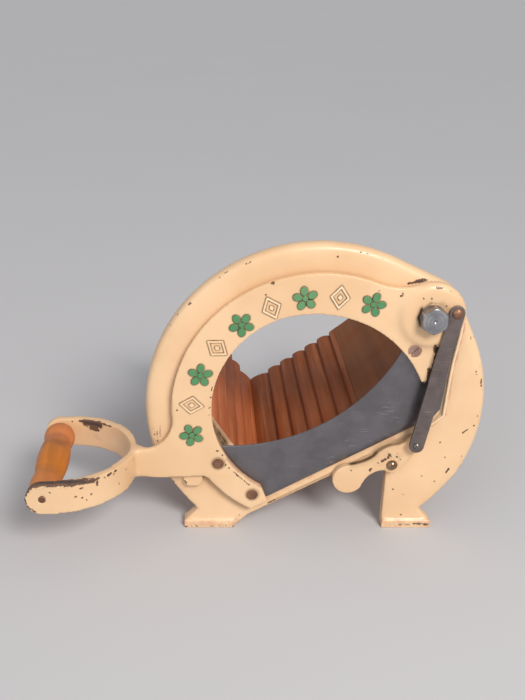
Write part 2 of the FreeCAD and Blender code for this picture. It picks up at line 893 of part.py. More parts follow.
def make_main_frame():
    body = new_body("main_frame")
    back = s.frame_depth
    pad(body, "Casting", [frame_outline()], 0, back)
    round_edges(body, "FrontRound", s.ring_round, lying_at(0))
    groove = [(RING, s.groove_inside), (RING, s.groove_outside)]
    pocket(body, "RearGroove", groove, back - s.groove_depth, back)
    pad(body, "Legs", [box(-s.foot_outside, s.foot_outside, 0, s.leg_pad_height)], 0, back)
    pocket(body, "BelowFrame", [below_frame()], -EXTRA, back + EXTRA)
    pocket(body, "LoafOpening", [loaf_opening()], -EXTRA, back + EXTRA)
    arch_top = arch_point(s.foot_inside)
    round_edges(body, "ArchLeft", s.arch_left_round, upright_at(ARCH_START))
    round_edges(body, "ArchRight", s.arch_right_round, upright_at(arch_top))
    notches = [(s.notch_across, s.notch_height), (-s.notch_across, s.notch_height)]
    round_edges(body, "Notches", s.notch_round, upright_at(*notches))
    toes = [(s.foot_outside, s.toe_height), (-s.foot_outside, s.toe_height)]
    round_edges(body, "Toes", s.toe_round, upright_at(*toes))
    pocket(body, "SunkField", [sunk_field()], 0, s.recess_depth)
    pad(body, "EarSeat", [(PIVOT, s.ear_seat_radius)], 0, back)
    pad(body, "EarBoss", [(PIVOT, s.ear_boss_radius)], back - s.groove_depth, EAR_REAR)
    shelves = [shelf(board) for board in BOARDS]
    pad(body, "Shelves", shelves, back - s.groove_depth, back + s.shelf_depth)
    pad(body, "BoardRim", [board_rim()], back, back + s.rim_depth)
    rims = [
        box(s.foot_inside, s.foot_outside, 0, s.sole_rim_height),
        box(-s.foot_outside, -s.foot_inside, 0, s.sole_rim_height),
    ]
    pad(body, "SoleRims", rims, -s.sole_rim_depth, 0)
    low_left = (s.lug_left, neck_low_point(s.lug_left)[1] - s.lug_height)
    low_right = (s.lug_right, neck_low_point(s.lug_left)[1] - s.lug_height)
    high_right = (s.lug_right, neck_low_point(s.lug_right)[1] - s.lug_gap)
    high_left = (s.lug_left, neck_low_point(s.lug_left)[1] - s.lug_gap)
    pad(body, "StopLug", [[low_left, low_right, high_right, high_left]], -s.lug_depth, 0)
    round_edges(body, "LugRound", s.lug_round, upright_at(low_left, low_right))
    pocket(body, "PivotBore", [(PIVOT, s.bolt_radius + s.fit)], -EXTRA, EAR_REAR + EXTRA)
    pocket(body, "LeverBore", [(LEVER_PIVOT, s.lever_pin_radius + s.fit)], -EXTRA, back + EXTRA)
    drill_shelves(body, FRONT_SCREW_DEPTH)


# Boards of the trough

def board_body(label, board, section, turn):
    """A board of one section, drawn flat along its own X and turned into its place."""
    body = new_body(label)
    pad(body, "Board", [section], BOARD_FRONT, BOARD_REAR)
    place(body, board.start[0], 0, board.start[1], Y_AXIS, turn)
    return body


def screw_pilots(body, board, underside, upward):
    """Holes in the underside of a board for the screws of both castings."""
    spots = []
    for step in screw_steps(board):
        spots.append(((step, FRONT_SCREW_DEPTH), s.screw_radius + s.screw_clearance))
        spots.append(((step, REAR_SCREW_DEPTH), s.screw_radius + s.screw_clearance))
    depth = s.screw_length - s.shelf_thickness + 1
    pocket_down(body, "ScrewPilots", spots, underside, depth, upward)


def toothed_face(board, length, first, last, count):
    """The toothed face of a board, from the trough's corner on. Each tooth has an upright
    back and a rounded top that falls to the foot of the next one."""
    side = board.side
    pitch = (length - first - last) / (count - 1)
    upright = (s.tooth_depth - s.tooth_shoulder) * (-side * board.way[1] / board.way[0])
    corners = [(0, 0, side * s.first_tooth_radius)]
    for row in range(count):
        foot = first + pitch * row
        corners.append((foot, side * s.tooth_depth))
        corners.append((foot + upright, side * s.tooth_shoulder, side * s.tooth_radius))
    corners[-1] = corners[-1][:2]
    corners.append((length, 0))
    return corners


def make_left_board():
    """The toothed board on the left. It runs on below the trough's corner, so that the
    floor board butts against it."""
    count = SIZES["left_tooth_count"]
    face = toothed_face(LEFT_BOARD, s.left_board_length, s.left_first_tooth, s.left_last_tooth, count)
    section = [(-s.floor_thickness, 0)] + face + [
        (s.left_board_length, s.left_board_thickness),
        (-s.floor_thickness, s.left_board_thickness),
    ]
    body = board_body("left_board", LEFT_BOARD, section, -s.left_board_angle)
    screw_pilots(body, LEFT_BOARD, s.left_board_thickness, False)


def make_floor_board():
    """The toothed floor board."""
    count = SIZES["floor_tooth_count"]
    face = toothed_face(FLOOR_BOARD, s.floor_length, s.floor_first_tooth, s.floor_last_tooth, count)
    section = face + [(s.floor_length, -s.floor_thickness), (0, -s.floor_thickness)]
    body = board_body("floor_board", FLOOR_BOARD, section, -s.floor_angle)
    screw_pilots(body, FLOOR_BOARD, -s.floor_thickness, True)


def make_wall_board():
    """The smooth curved board above the floor board, bevelled where they join."""
    bevel = s.wall_thickness * tangent(s.wall_angle - s.floor_angle)
    section = [
        (0, 0, s.wall_bow_radius),
        (s.wall_length, 0),
        (s.wall_length, -s.wall_thickness),
        (-bevel, -s.wall_thickness),
    ]
    body = board_body("wall_board", WALL_BOARD, section, -s.wall_angle)
    screw_pilots(body, WALL_BOARD, -s.wall_thickness, True)


# Rear bracket, hidden under the far end of the boards

def make_rear_bracket():
    """A cast saddle that follows the undersides of the boards, on two feet."""
    body = new_body("rear_bracket")
    bevel = s.wall_thickness * tangent(s.wall_angle - s.floor_angle)
    left_top = go(TROUGH, LEFT_WAY, s.left_shelf_end, s.left_board_thickness)
    left_low = go(TROUGH, LEFT_WAY, -s.floor_thickness, s.left_board_thickness)
    corner = go(TROUGH, LEFT_WAY, -s.floor_thickness)
    floor_low = go(FLOOR_END, FLOOR_WAY, 0, -s.floor_thickness)
    wall_low = go(FLOOR_END, WALL_WAY, -bevel, -s.wall_thickness)
    wall_top = go(FLOOR_END, WALL_WAY, s.wall_shelf_end, -s.wall_thickness)
    wall_rim = go(FLOOR_END, WALL_WAY, s.wall_shelf_end, -(s.wall_thickness + s.bracket_rim))
    left_rim = go(TROUGH, LEFT_WAY, s.left_shelf_end, s.left_board_thickness + s.bracket_rim)
    rim_start = go(TROUGH, FLOOR_WAY, 0, -(s.floor_thickness + s.bracket_rim))
    slope = tangent(s.floor_angle)
    inner = s.bracket_foot_spread - s.bracket_foot_width / 2
    outer = s.bracket_foot_spread + s.bracket_foot_width / 2
    right_inner = (inner, rim_start[1] + (inner - rim_start[0]) * slope)
    right_outer = (outer, rim_start[1] + (outer - rim_start[0]) * slope)
    arch_left = (rim_start[0] - rim_start[1] / slope, 0)
    left_slope = tangent(s.left_board_angle)
    left_outer = (-outer, left_rim[1] + (-outer - left_rim[0]) * left_slope)
    outline = [
        left_top,
        left_low,
        corner,
        floor_low,
        wall_low,
        wall_top,
        wall_rim,
        right_outer,
        (outer, 0),
        (inner, 0),
        right_inner,
        arch_left,
        (-outer, 0),
        left_outer,
        left_rim,
    ]
    pad(body, "Saddle", [outline], s.bracket_front, BRACKET_REAR)
    round_edges(body, "SaddleRounds", s.bracket_round, upright_at(right_inner, right_outer, left_outer))
    pad(body, "Ledges", [shelf(board) for board in BOARDS], BRACKET_REAR, BRACKET_REAR + s.shelf_depth)
    middle = s.bracket_front + s.bracket_thickness / 2
    front = middle - s.bracket_foot_depth / 2
    rear = middle + s.bracket_foot_depth / 2
    feet = [
        box(inner, outer, front, rear),
        box(-outer, -inner, front, rear),
    ]
    pad_up(body, "Feet", feet, 0, s.bracket_foot_height)
    drill_shelves(body, REAR_SCREW_DEPTH)


# Pivot of the arm: hexagon bolt, bush, washers and nut

def hexagon_chamfer(end, depth):
    """What is turned off the corners of the hexagon at one end, down to a depth."""
    flat = s.bolt_head_flats / 2
    beyond = s.bolt_head_flats
    return [(flat, end), (beyond, end), (beyond, depth)]


def make_pivot():
    across, height = PIVOT
    flats = s.bolt_head_flats
    chamfer_depth = (s.bolt_head_flats / 2) * tangent(s.bolt_chamfer_angle)
    nut_front = EAR_REAR + s.rear_washer_thickness
    nut_rear = nut_front + s.nut_height
    length = nut_rear + s.bolt_tail - HEAD_REAR
    bolt = new_body("pivot_bolt")
    pad_up(bolt, "Head", [hexagon(flats)], 0, s.bolt_head_height)
    top = s.bolt_head_height
    revolve(bolt, "HeadChamfer", hexagon_chamfer(top, top - chamfer_depth), CUT_OUT)
    dimple = [(0, top - s.bolt_dimple_depth), (s.bolt_dimple_radius, top), (0, top)]
    revolve(bolt, "HeadDimple", dimple, CUT_OUT)
    revolve(bolt, "Shank", [(0, -length), (s.bolt_radius, -length), (s.bolt_radius, 0), (0, 0)])
    place(bolt, across, HEAD_REAR, height, X_AXIS, 90)

    nut = new_body("pivot_nut")
    pad_up(nut, "Block", [hexagon(flats)], 0, s.nut_height)
    top = s.nut_height
    bore = s.bolt_radius + s.fit
    revolve(nut, "NutChamfer", hexagon_chamfer(0, chamfer_depth), CUT_OUT)
    revolve(nut, "NutBore", box(0, bore, 0, top), CUT_OUT)
    place(nut, across, nut_rear, height, X_AXIS, 90)

    bush = ring_of(bore, s.bush_radius, 0, -BUSH_FRONT - s.thrust_washer_thickness)
    turned("pivot_bush", bush, across, -s.thrust_washer_thickness, height)
    washer = ring_of(bore, s.thrust_washer_radius, 0, s.thrust_washer_thickness)
    turned("pivot_thrust_washer", washer, across, 0, height)
    washer = ring_of(bore, s.front_washer_radius, 0, s.front_washer_thickness)
    turned("pivot_front_washer", washer, across, BUSH_FRONT, height)
    washer = ring_of(bore, s.rear_washer_radius, 0, s.rear_washer_thickness)
    turned("pivot_rear_washer", washer, across, nut_front, height)


# Bow arm: a flat cast bow with a boss at its pivot, a neck and a yoke for the grip

def bow_outline():
    """The arm seen from the front, clockwise from the top of its neck."""
    centre_height = s.ring_height
    bow_start = -root(square(s.bow_radius) - square(s.neck_blend_height - centre_height))
    bow_top = centre_height + root(square(s.bow_radius) - square(s.bow_top_across))
    boss_top = s.boss_top_across - s.pivot_across
    boss_top_height = s.pivot_height + root(square(s.boss_radius) - square(boss_top))
    horn_root = go(PIVOT, heading(s.horn_root_angle), s.boss_radius)
    bow_end = (s.bow_end_across, s.bow_end_height)
    low_end = go(bow_end, ARCH_WAY, -s.bow_end_length)
    return [
        (s.neck_root_across, s.neck_top_height),
        (s.neck_top_across, s.neck_top_height, s.neck_blend_radius),
        (bow_start, s.neck_blend_height, -s.bow_radius),
        (s.bow_top_across, bow_top, s.boss_blend_radius),
        (s.boss_top_across, boss_top_height, -s.boss_radius),
        (s.pivot_across + s.boss_radius, s.pivot_height, -s.boss_radius),
        (horn_root[0], horn_root[1], -s.horn_bow_radius),
        (s.horn_tip_across, s.horn_tip_height),
        (s.inner_end_across, s.inner_end_height, s.inner_right_radius),
        (s.inner_joint_across, s.inner_joint_height, s.inner_left_radius),
        (s.inner_low_across, s.inner_low_height),
        bow_end,
        (low_end[0], low_end[1], -s.bow_low_radius),
        (s.bow_low_start_across, s.bow_low_start_height),
        (s.neck_corner_across, s.neck_corner_height),
        (s.neck_low_across, s.neck_low_height),
        (s.neck_root_across, s.neck_low_height),
    ]


def yoke_plan():
    """The yoke seen from above: two straps that meet in a pointed arch at the neck."""
    wide = s.yoke_half_width
    inside = wide - s.strap_thickness
    inner_radius = s.yoke_radius - s.strap_thickness
    offset = s.yoke_radius - wide
    end = s.rod_across - s.strap_end_radius
    bend = s.yoke_bend_across

    def reach(radius, depth):
        """How far across the arch of one strap stands at a depth."""
        return bend + root(square(radius) - square(depth + offset))

    return [
        (end, -wide),
        (bend, -wide, s.yoke_radius),
        (reach(s.yoke_radius, -ARM_FRONT), ARM_FRONT),
        (s.yoke_web_across, ARM_FRONT),
        (s.yoke_web_across, ARM_REAR),
        (reach(s.yoke_radius, s.yoke_web_depth), s.yoke_web_depth, s.yoke_radius),
        (bend, wide),
        (end, wide),
        (end, inside),
        (bend, inside, -inner_radius),
        (reach(inner_radius, 0), 0, -inner_radius),
        (bend, -inside),
        (end, -inside),
    ]


def yoke_trim():
    """What is cut off above, below and round the ends of the straps, in side view."""
    radius = s.strap_end_radius
    left = s.rod_across - radius - EXTRA
    neck_low = s.neck_low_height
    return [
        (s.yoke_web_across, s.neck_top_height),
        (s.rod_across, s.rod_height + radius, radius),
        (s.rod_across - radius, s.rod_height, radius),
        (s.rod_across, s.rod_height - radius),
        (s.yoke_web_across, neck_low),
        (s.yoke_web_across, neck_low - EXTRA),
        (left, neck_low - EXTRA),
        (left, s.neck_top_height + EXTRA),
        (s.yoke_web_across, s.neck_top_height + EXTRA),
    ]


RIVETS = ((s.upper_rivet_across, s.upper_rivet_height), (s.lower_rivet_across, s.lower_rivet_height))
BLADE_SCREW = (s.blade_screw_across, s.pivot_height - s.blade_screw_drop)


def sunk_hole(radius, head_radius, sink):
    """The section of a hole through the arm with a cone for a flush head."""
    return [
        (0, ARM_REAR),
        (radius, ARM_REAR),
        (radius, ARM_FRONT + sink),
        (head_radius, ARM_FRONT),
        (0, ARM_FRONT),
    ]


def make_bow_arm():
    body = new_body("bow_arm")
    wide = s.yoke_half_width
    pad_up(body, "Yoke", [yoke_plan()], s.neck_low_height - EXTRA, s.neck_top_height + EXTRA)
    pocket(body, "YokeTrim", [yoke_trim()], -(wide + EXTRA), wide + EXTRA)
    pad(body, "Bow", [bow_outline()], ARM_FRONT, ARM_REAR)
    boss = [
        (0, ARM_REAR),
        (s.boss_radius, ARM_REAR),
        (s.boss_radius, BOSS_FRONT + s.boss_round, -s.boss_round),
        (s.boss_radius - s.boss_round, BOSS_FRONT),
        (0, BOSS_FRONT),
    ]
    revolve(body, "Boss", boss, ADDED, PIVOT)
    pocket(body, "BushBore", [(PIVOT, s.bush_radius + s.fit)], -EXTRA, EXTRA)
    fit = s.fit
    for row, spot in enumerate(RIVETS, start=1):
        hole = sunk_hole(s.rivet_radius + fit, s.rivet_head_radius + fit, s.rivet_sink)
        revolve(body, "RivetHole%d" % row, hole, CUT_OUT, spot)
    hole = sunk_hole(s.rivet_radius + fit, s.blade_screw_head_radius + fit, s.rivet_sink)
    revolve(body, "ScrewHole", hole, CUT_OUT, BLADE_SCREW)
    counterbore = [(BLADE_SCREW, s.blade_screw_head_radius + fit)]
    pocket(body, "ScrewRelief", counterbore, -EXTRA, ARM_FRONT)
    top_pin = [(LINK_TOP, s.top_pin_radius + fit)]
    pocket(body, "TopPinHole", top_pin, -EXTRA, BOSS_FRONT + s.top_pin_depth)
    pocket(body, "RodHole", [(ROD, s.rod_radius + fit)], -(wide + EXTRA), wide + EXTRA)


def make_grip():
    """The turned wooden grip, free on a steel rod that is riveted into both straps. It
    has a ball at its far end and a flared collar at its near end."""
    half = s.yoke_half_width - s.strap_thickness - s.grip_play
    bore = s.rod_radius + s.fit
    waist = s.grip_waist_radius
    ball_end = s.grip_ball_length - half
    groove = s.grip_groove_place
    groove_end = groove + s.grip_groove_width
    collar = groove_end + s.grip_flare_length
    section = [
        (bore, -half),
        (s.grip_face_radius, -half, s.grip_ball_radius),
        (waist, ball_end, -s.grip_waist_bow),
        (waist, ball_end + s.grip_waist_length, s.grip_bulge_bow),
        (waist, groove),
        (waist - s.grip_groove_depth, groove + s.grip_groove_width / 2),
        (waist, groove_end, -s.grip_flare_bow),
        (s.grip_collar_radius, collar),
        (s.grip_collar_radius, half),
        (bore, half),
    ]
    turned("grip", section, s.rod_across, 0, s.rod_height)
    wide = s.yoke_half_width
    turned("grip_rod", box(0, s.rod_radius, -wide, wide), s.rod_across, 0, s.rod_height)


# Blade, with its rivets and its screw

def make_blade():
    body = new_body("blade")
    corner = (s.blade_corner_across, s.blade_corner_height)
    tip = go(corner, heading(s.blade_edge_angle + HALF_TURN), s.blade_edge_length)
    outline = [
        (s.blade_left_across, s.blade_left_height, s.blade_top_radius),
        (s.blade_top_across, s.pivot_height - s.blade_top_drop),
        (s.blade_horn_across, s.pivot_height - s.blade_horn_drop),
        (s.blade_shoulder_across, s.blade_shoulder_height),
        (s.blade_right_across, s.blade_right_height),
        corner,
        tip,
        (s.blade_back_across, s.blade_back_height),
        (s.blade_side_across, s.blade_side_height),
    ]
    pad(body, "Plate", [outline], ARM_REAR, BLADE_REAR)
    middle = (plain(corner) + plain(tip)) * 0.5

    def cutting_edge(edge):
        """The front edge along the cutting side."""
        spot = edge.BoundBox.Center
        near = abs(spot.x - middle.x) + abs(spot.z - middle.y) < 0.5
        return near and lying_at(ARM_REAR)(edge)

    plate = body.Tip
    names = ["Edge%d" % (row + 1) for row, edge in enumerate(plate.Shape.Edges) if cutting_edge(edge)]
    bevel = body.newObject("PartDesign::Chamfer", "Bevel")
    bevel.Base = (plate, names)
    bevel.ChamferType = 1
    bind(bevel, "Size", s.blade_bevel_depth)
    bind(bevel, "Size2", s.blade_bevel_width)
    grown(body, bevel)
    holes = [(spot, s.rivet_radius + s.fit) for spot in RIVETS + (BLADE_SCREW,)]
    pocket(body, "Holes", holes, -EXTRA, EXTRA)


def flush_head(head_radius):
    """A shank through blade and arm with a conical head flush with the arm."""
    return [
        (0, -s.blade_thickness),
        (s.rivet_radius, -s.blade_thickness),
        (s.rivet_radius, s.arm_thickness - s.rivet_sink),
        (head_radius, s.arm_thickness),
        (0, s.arm_thickness),
    ]


def make_blade_fasteners():
    rivets = []
    for row, (across, height) in enumerate(RIVETS, start=1):
        section = flush_head(s.rivet_head_radius)
        rivets.append(turned("blade_rivet_%d" % row, section, across, ARM_REAR, height, False))
    group("blade_rivets", rivets)
    section = flush_head(s.blade_screw_head_radius)
    screw = turned("blade_screw", section, BLADE_SCREW[0], ARM_REAR, BLADE_SCREW[1])
    way = heading(s.blade_screw_slot_angle)
    half = s.blade_screw_slot_width / 2
    start = go((as_size(0), as_size(0)), way, -s.blade_screw_head_radius - 1, -half)
    end = go((as_size(0), as_size(0)), way, s.blade_screw_head_radius + 1, -half)
    slot = [start, end, go(end, way, 0, 2 * half), go(start, way, 0, 2 * half)]
    pocket_down(screw, "Slot", [slot], s.arm_thickness, s.blade_screw_slot_depth)


# Link bar between the arm's boss and the stop lever

def domed_pin(radius, length, head_radius, head_height):
    """A round pin with a domed head in front."""
    cap = (square(head_radius) + square(head_height)) / (2 * head_height)
    return [
        (0, -length),
        (radius, -length),
        (radius, 0),
        (head_radius, 0, cap),
        (0, head_height),
    ]


def make_link():
    body = new_body("link_bar")
    half = s.link_half_width
    way, reach = toward(LEVER_CRANK, LINK_TOP)
    low_right = go(LEVER_CRANK, way, 0, -half)
    high_right = go(LEVER_CRANK, way, reach, -half)
    top = go(LEVER_CRANK, way, reach + half)
    high_left = go(LEVER_CRANK, way, reach, half)
    low_left = go(LEVER_CRANK, way, 0, half)
    bottom = go(LEVER_CRANK, way, -half)
    outline = [
        low_right,
        (high_right[0], high_right[1], half),
        (top[0], top[1], half),
        high_left,
        (low_left[0], low_left[1], half),
        (bottom[0], bottom[1], half),
    ]
    pad(body, "Bar", [outline], LINK_FRONT, LINK_REAR)
    fit = s.fit
    holes = [(LINK_TOP, s.top_pin_radius + fit), (LEVER_CRANK, s.lower_pin_radius + fit)]
    pocket(body, "PinHoles", holes, -EXTRA, EXTRA)
    length = s.link_thickness + s.link_gap + s.top_pin_depth
    section = domed_pin(s.top_pin_radius, length, s.top_pin_head_radius, s.top_pin_head_height)
    turned("link_top_pin", section, LINK_TOP[0], LINK_FRONT, LINK_TOP[1])
    length = LEVER_REAR - s.lower_pin_gap - LINK_FRONT
    section = domed_pin(s.lower_pin_radius, length, s.lower_pin_head_radius, s.lower_pin_head_height)
    turned("link_lower_pin", section, LEVER_CRANK[0], LINK_FRONT, LEVER_CRANK[1])


# Stop lever: a paddle that rises behind the lifted blade

def make_stop_lever():
    body = new_body("stop_lever")
    paddle = (s.paddle_across, s.paddle_height)
    crank_way, _ = toward(LEVER_PIVOT, LEVER_CRANK)
    paddle_top = (s.paddle_across, s.paddle_height + s.paddle_radius)
    paddle_low = go(paddle, heading(s.paddle_low_angle), s.paddle_radius)
    nape = go(LEVER_CRANK, heading(s.lever_nape_angle), s.lever_crank_radius)
    crank_right = go(LEVER_CRANK, crank_way, 0, -s.lever_crank_radius)
    pivot_right = go(LEVER_PIVOT, crank_way, 0, -s.lever_pivot_radius)
    pivot_low = go(LEVER_PIVOT, heading(s.lever_low_angle), s.lever_pivot_radius)
    throat = (s.lever_throat_across, s.lever_throat_height)
    outline = [
        (paddle_top[0], paddle_top[1], s.lever_waist_radius),
        (s.lever_waist_across, s.lever_waist_height, -s.lever_hump_radius),
        (s.lever_hump_across, s.lever_hump_height, s.lever_nape_radius),
        (nape[0], nape[1], -s.lever_crank_radius),
        crank_right,
        (pivot_right[0], pivot_right[1], -s.lever_pivot_radius),
        (pivot_low[0], pivot_low[1], s.lever_throat_radius),
        throat,
        (paddle_low[0], paddle_low[1], -s.paddle_radius, True),
    ]
    pad(body, "Plate", [outline], LEVER_FRONT, LEVER_REAR)
    boss_rear = LEVER_REAR - s.lever_thickness / 2
    pad(body, "CrankBoss", [(LEVER_CRANK, s.lever_crank_radius)], BOSS_FRONT, boss_rear)
    pocket(body, "PinEye", [(LEVER_CRANK, s.lever_eye_radius)], -EXTRA, EXTRA)
    pocket(body, "PivotHole", [(LEVER_PIVOT, s.lever_pin_radius + s.fit)], -EXTRA, EXTRA)
    bore = s.lever_pin_radius + s.fit
    washer = ring_of(bore, s.lever_washer_radius, 0, s.lever_washer_thickness)
    turned("stop_lever_washer", washer, LEVER_PIVOT[0], 0, LEVER_PIVOT[1])
    head_rear = LEVER_FRONT - s.end_play
    radius = s.lever_pin_head_radius
    cap = (square(radius) + square(s.lever_pin_head_height)) / (2 * s.lever_pin_head_height)
    length = s.frame_depth - head_rear
    section = [
        (0, -(length + s.lever_pin_tail_height)),
        (radius, -(length + s.lever_pin_tail_height)),
        (radius, -length),
        (s.lever_pin_radius, -length),
        (s.lever_pin_radius, 0),
        (radius, 0, cap),
        (0, s.lever_pin_head_height),
    ]
    turned("stop_lever_pin", section, LEVER_PIVOT[0], head_rear, LEVER_PIVOT[1])


# Make every sub-part, test it and write it out

def check_document():
    for item in document.Objects:
        if "Invalid" in item.State or "Error" in item.State:
            raise RuntimeError("%s has failed" % item.Label)
    for item in subparts:
        if item.Shape.isNull() or not item.Shape.isValid():
            raise RuntimeError("%s has no sound shape" % item.Label)


def main():
    make_main_frame()
    make_left_board()
    make_floor_board()
    make_wall_board()
    make_rear_bracket()
    make_board_screws("front_board_screws", FRONT_SCREW_DEPTH)
    make_board_screws("rear_board_screws", REAR_SCREW_DEPTH)
    make_pivot()
    make_bow_arm()
    make_grip()
    make_blade()
    make_blade_fasteners()
    make_link()
    make_stop_lever()
    document.recompute()
    check_document()
    os.makedirs("parts", exist_ok=True)
    for item in subparts:
        item.Shape.exportStep("parts/%s.step" % item.Label)


main()
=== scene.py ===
import json
import math

import bmesh
import bpy
import numpy
from mathutils import Matrix, Vector, kdtree, noise


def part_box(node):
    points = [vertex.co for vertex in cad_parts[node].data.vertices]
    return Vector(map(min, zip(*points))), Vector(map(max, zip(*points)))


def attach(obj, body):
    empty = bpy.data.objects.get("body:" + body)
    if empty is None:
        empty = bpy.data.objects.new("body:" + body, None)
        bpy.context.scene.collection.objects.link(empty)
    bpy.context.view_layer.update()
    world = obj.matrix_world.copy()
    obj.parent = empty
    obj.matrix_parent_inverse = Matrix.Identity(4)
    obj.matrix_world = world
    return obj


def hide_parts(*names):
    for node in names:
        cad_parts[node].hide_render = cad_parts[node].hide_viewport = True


# The looks of a lever bread slicer: enamelled castings, a ground blade, varnished wood and worn steel.
# Lengths are metres. Places on the castings are millimetres from the ring: across from its middle,
# out from its front face (behind it is positive) and up from the table.

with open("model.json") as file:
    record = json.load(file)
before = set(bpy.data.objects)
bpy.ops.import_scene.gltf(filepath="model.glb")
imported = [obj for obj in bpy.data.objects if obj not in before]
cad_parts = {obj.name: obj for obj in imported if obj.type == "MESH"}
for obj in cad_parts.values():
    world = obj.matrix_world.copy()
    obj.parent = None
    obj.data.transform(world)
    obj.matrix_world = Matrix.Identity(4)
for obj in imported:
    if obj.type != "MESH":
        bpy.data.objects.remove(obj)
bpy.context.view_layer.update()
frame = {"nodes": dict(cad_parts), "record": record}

MM = 0.001
RING_RADIUS = 148.5 * MM
RING_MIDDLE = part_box("main_frame")[0].x + RING_RADIUS
RING_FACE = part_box("pivot_thrust_washer")[1].y


def spot(across, out, up):
    """A place on the slicer from its millimetres."""
    return Vector((RING_MIDDLE + across * MM, RING_FACE + out * MM, up * MM))


def placed(name, data):
    """A new object in the scene."""
    thing = bpy.data.objects.new(name, data)
    bpy.context.scene.collection.objects.link(thing)
    return thing


# Castings and worn steel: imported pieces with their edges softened

MERGE = 0.01 * MM
SHORTEST_EDGE = 1e-9
SHORTEST_STROKE = 1e-12

# How far a point stands out from its neighbours, as a share of the way to them. Below the first
# number it counts for nothing, and above the second in full.
HELD_BEND = (0.05, 0.16)
EDGE_BEND = (0.05, 0.26)
HOLLOW_BEND = (0.03, 0.16)

# How much of the way to its neighbours' middle a point goes in one pass of smoothing
ROUNDING = 0.5
FAIRING = 0.5
HELD_REACH = 3
EVENED_BENDS = 2

# Strokes wander by this much, and the faces under a rub are split out to this much room round it
WANDER = 0.7 * MM
WANDER_SIZE = 1.3 * MM
REFINED_ROOM = 0.8
REFINED_CUTS = 2
ONE_WIDTH_AWAY = math.exp(-1)
DIRT_ROUND_MARKS = (0.3 * MM, 1.3 * MM)


class Skin:
    """The points of a mesh and who lies next to whom, for averages over its surface."""

    def __init__(self, mesh):
        self.mesh = mesh
        self.count = len(mesh.vertices)
        ends = numpy.empty(2 * len(mesh.edges), dtype=numpy.int32)
        mesh.edges.foreach_get("vertices", ends)
        ends = ends.reshape(-1, 2)
        self.near = numpy.concatenate((ends[:, 0], ends[:, 1]))
        self.far = numpy.concatenate((ends[:, 1], ends[:, 0]))
        self.shares = numpy.bincount(self.near, minlength=self.count).clip(1)

    def rows(self, what):
        """Three numbers a point, such as its place."""
        values = numpy.empty(3 * self.count)
        self.mesh.vertices.foreach_get(what, values)
        return values.reshape(-1, 3)

    def points(self):
        return self.rows("co")

    def mean(self, values):
        """The mean at each point of a number that every way to a neighbour has."""
        return numpy.bincount(self.near, weights=values, minlength=self.count) / self.shares

    def average(self, values):
        """What each point's neighbours have, on average."""
        if values.ndim == 1:
            return self.mean(values[self.far])
        return numpy.stack([self.mean(column[self.far]) for column in values.T], axis=1)

    def bend(self):
        """How far each point stands proud of its neighbours: 0 on a flat, positive on an edge."""
        places = self.points()
        steps = places[self.near] - places[self.far]
        lengths = numpy.linalg.norm(steps, axis=1).clip(SHORTEST_EDGE)
        rises = (self.rows("normal")[self.near] * steps).sum(axis=1) / lengths
        return self.mean(rises)

    def keep(self, name, values):
        """Stores one number a point, for the finishes to read."""
        column = self.mesh.attributes.new(name, "FLOAT", "POINT")
        column.data.foreach_set("value", values.astype(numpy.float32))


def smooth_step(values, low, high):
    share = ((values - low) / (high - low)).clip(0, 1)
    return share * share * (3 - 2 * share)


def new_piece(name, shape):
    """An object in the scene from a finished bmesh."""
    mesh = bpy.data.meshes.new(name)
    shape.to_mesh(mesh)
    shape.free()
    return placed(name, mesh)


def packed_shape(node):
    """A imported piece's shape with its loose triangles joined."""
    shape = bmesh.new()
    shape.from_mesh(frame["nodes"][node].data)
    bmesh.ops.remove_doubles(shape, verts=shape.verts, dist=MERGE)
    return shape


def kept_inside(piece, node):
    """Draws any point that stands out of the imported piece's box back to it."""
    low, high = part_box(node)
    for point in piece.data.vertices:
        point.co = [min(max(value, least), most) for value, least, most in zip(point.co, low, high)]


def smooth_shaded(mesh):
    mesh.polygons.foreach_set("use_smooth", [True] * len(mesh.polygons))


def soften(piece, grain, passes):
    """Gives a piece an even skin of small faces, and rounds its edges by a few passes of smoothing."""
    skin = piece.modifiers.new("skin", "REMESH")
    skin.mode = "VOXEL"
    skin.voxel_size = grain
    rounding = piece.modifiers.new("rounding", "SMOOTH")
    rounding.factor = ROUNDING
    rounding.iterations = passes
    view = bpy.context.evaluated_depsgraph_get()
    finished = bpy.data.meshes.new_from_object(piece.evaluated_get(view))
    piece.modifiers.clear()
    piece.data = finished
    smooth_shaded(finished)


def fair(piece, passes, eased=()):
    """Smooths the broad curves of a softened piece and leaves its edges as they are, except where
    they are eased away."""
    skin = Skin(piece.data)
    hold = smooth_step(numpy.abs(skin.bend()), *HELD_BEND)
    for _ in range(HELD_REACH):
        hold = numpy.maximum(hold, skin.average(hold))
    places = skin.points()
    give = numpy.maximum(1 - hold, rubbed(places, eased))[:, None] * FAIRING
    for _ in range(passes):
        places += (skin.average(places) - places) * give
    piece.data.vertices.foreach_set("co", places.ravel())
    piece.data.update()


def unsteady(places):
    """The places, each pushed a little its own way, so that strokes get ragged edges."""
    pushes = [noise.noise_vector(Vector(place) / WANDER_SIZE) for place in places]
    return places + WANDER * numpy.array(pushes)


def rubbed(places, rubs):
    """How much each place is rubbed, 0 to 1. A rub is a stroke from one spot to another with a
    width in millimetres and a strength."""
    worn = numpy.zeros(len(places))
    for start, end, width, strength in rubs:
        begun = numpy.array(spot(*start))
        stroke = numpy.array(spot(*end)) - begun
        along = ((places - begun) @ stroke / max(stroke @ stroke, SHORTEST_STROKE)).clip(0, 1)
        away = numpy.linalg.norm(places - begun - along[:, None] * stroke, axis=1)
        worn = numpy.maximum(worn, strength * numpy.exp(-((away / (width * MM)) ** 2)))
    return worn


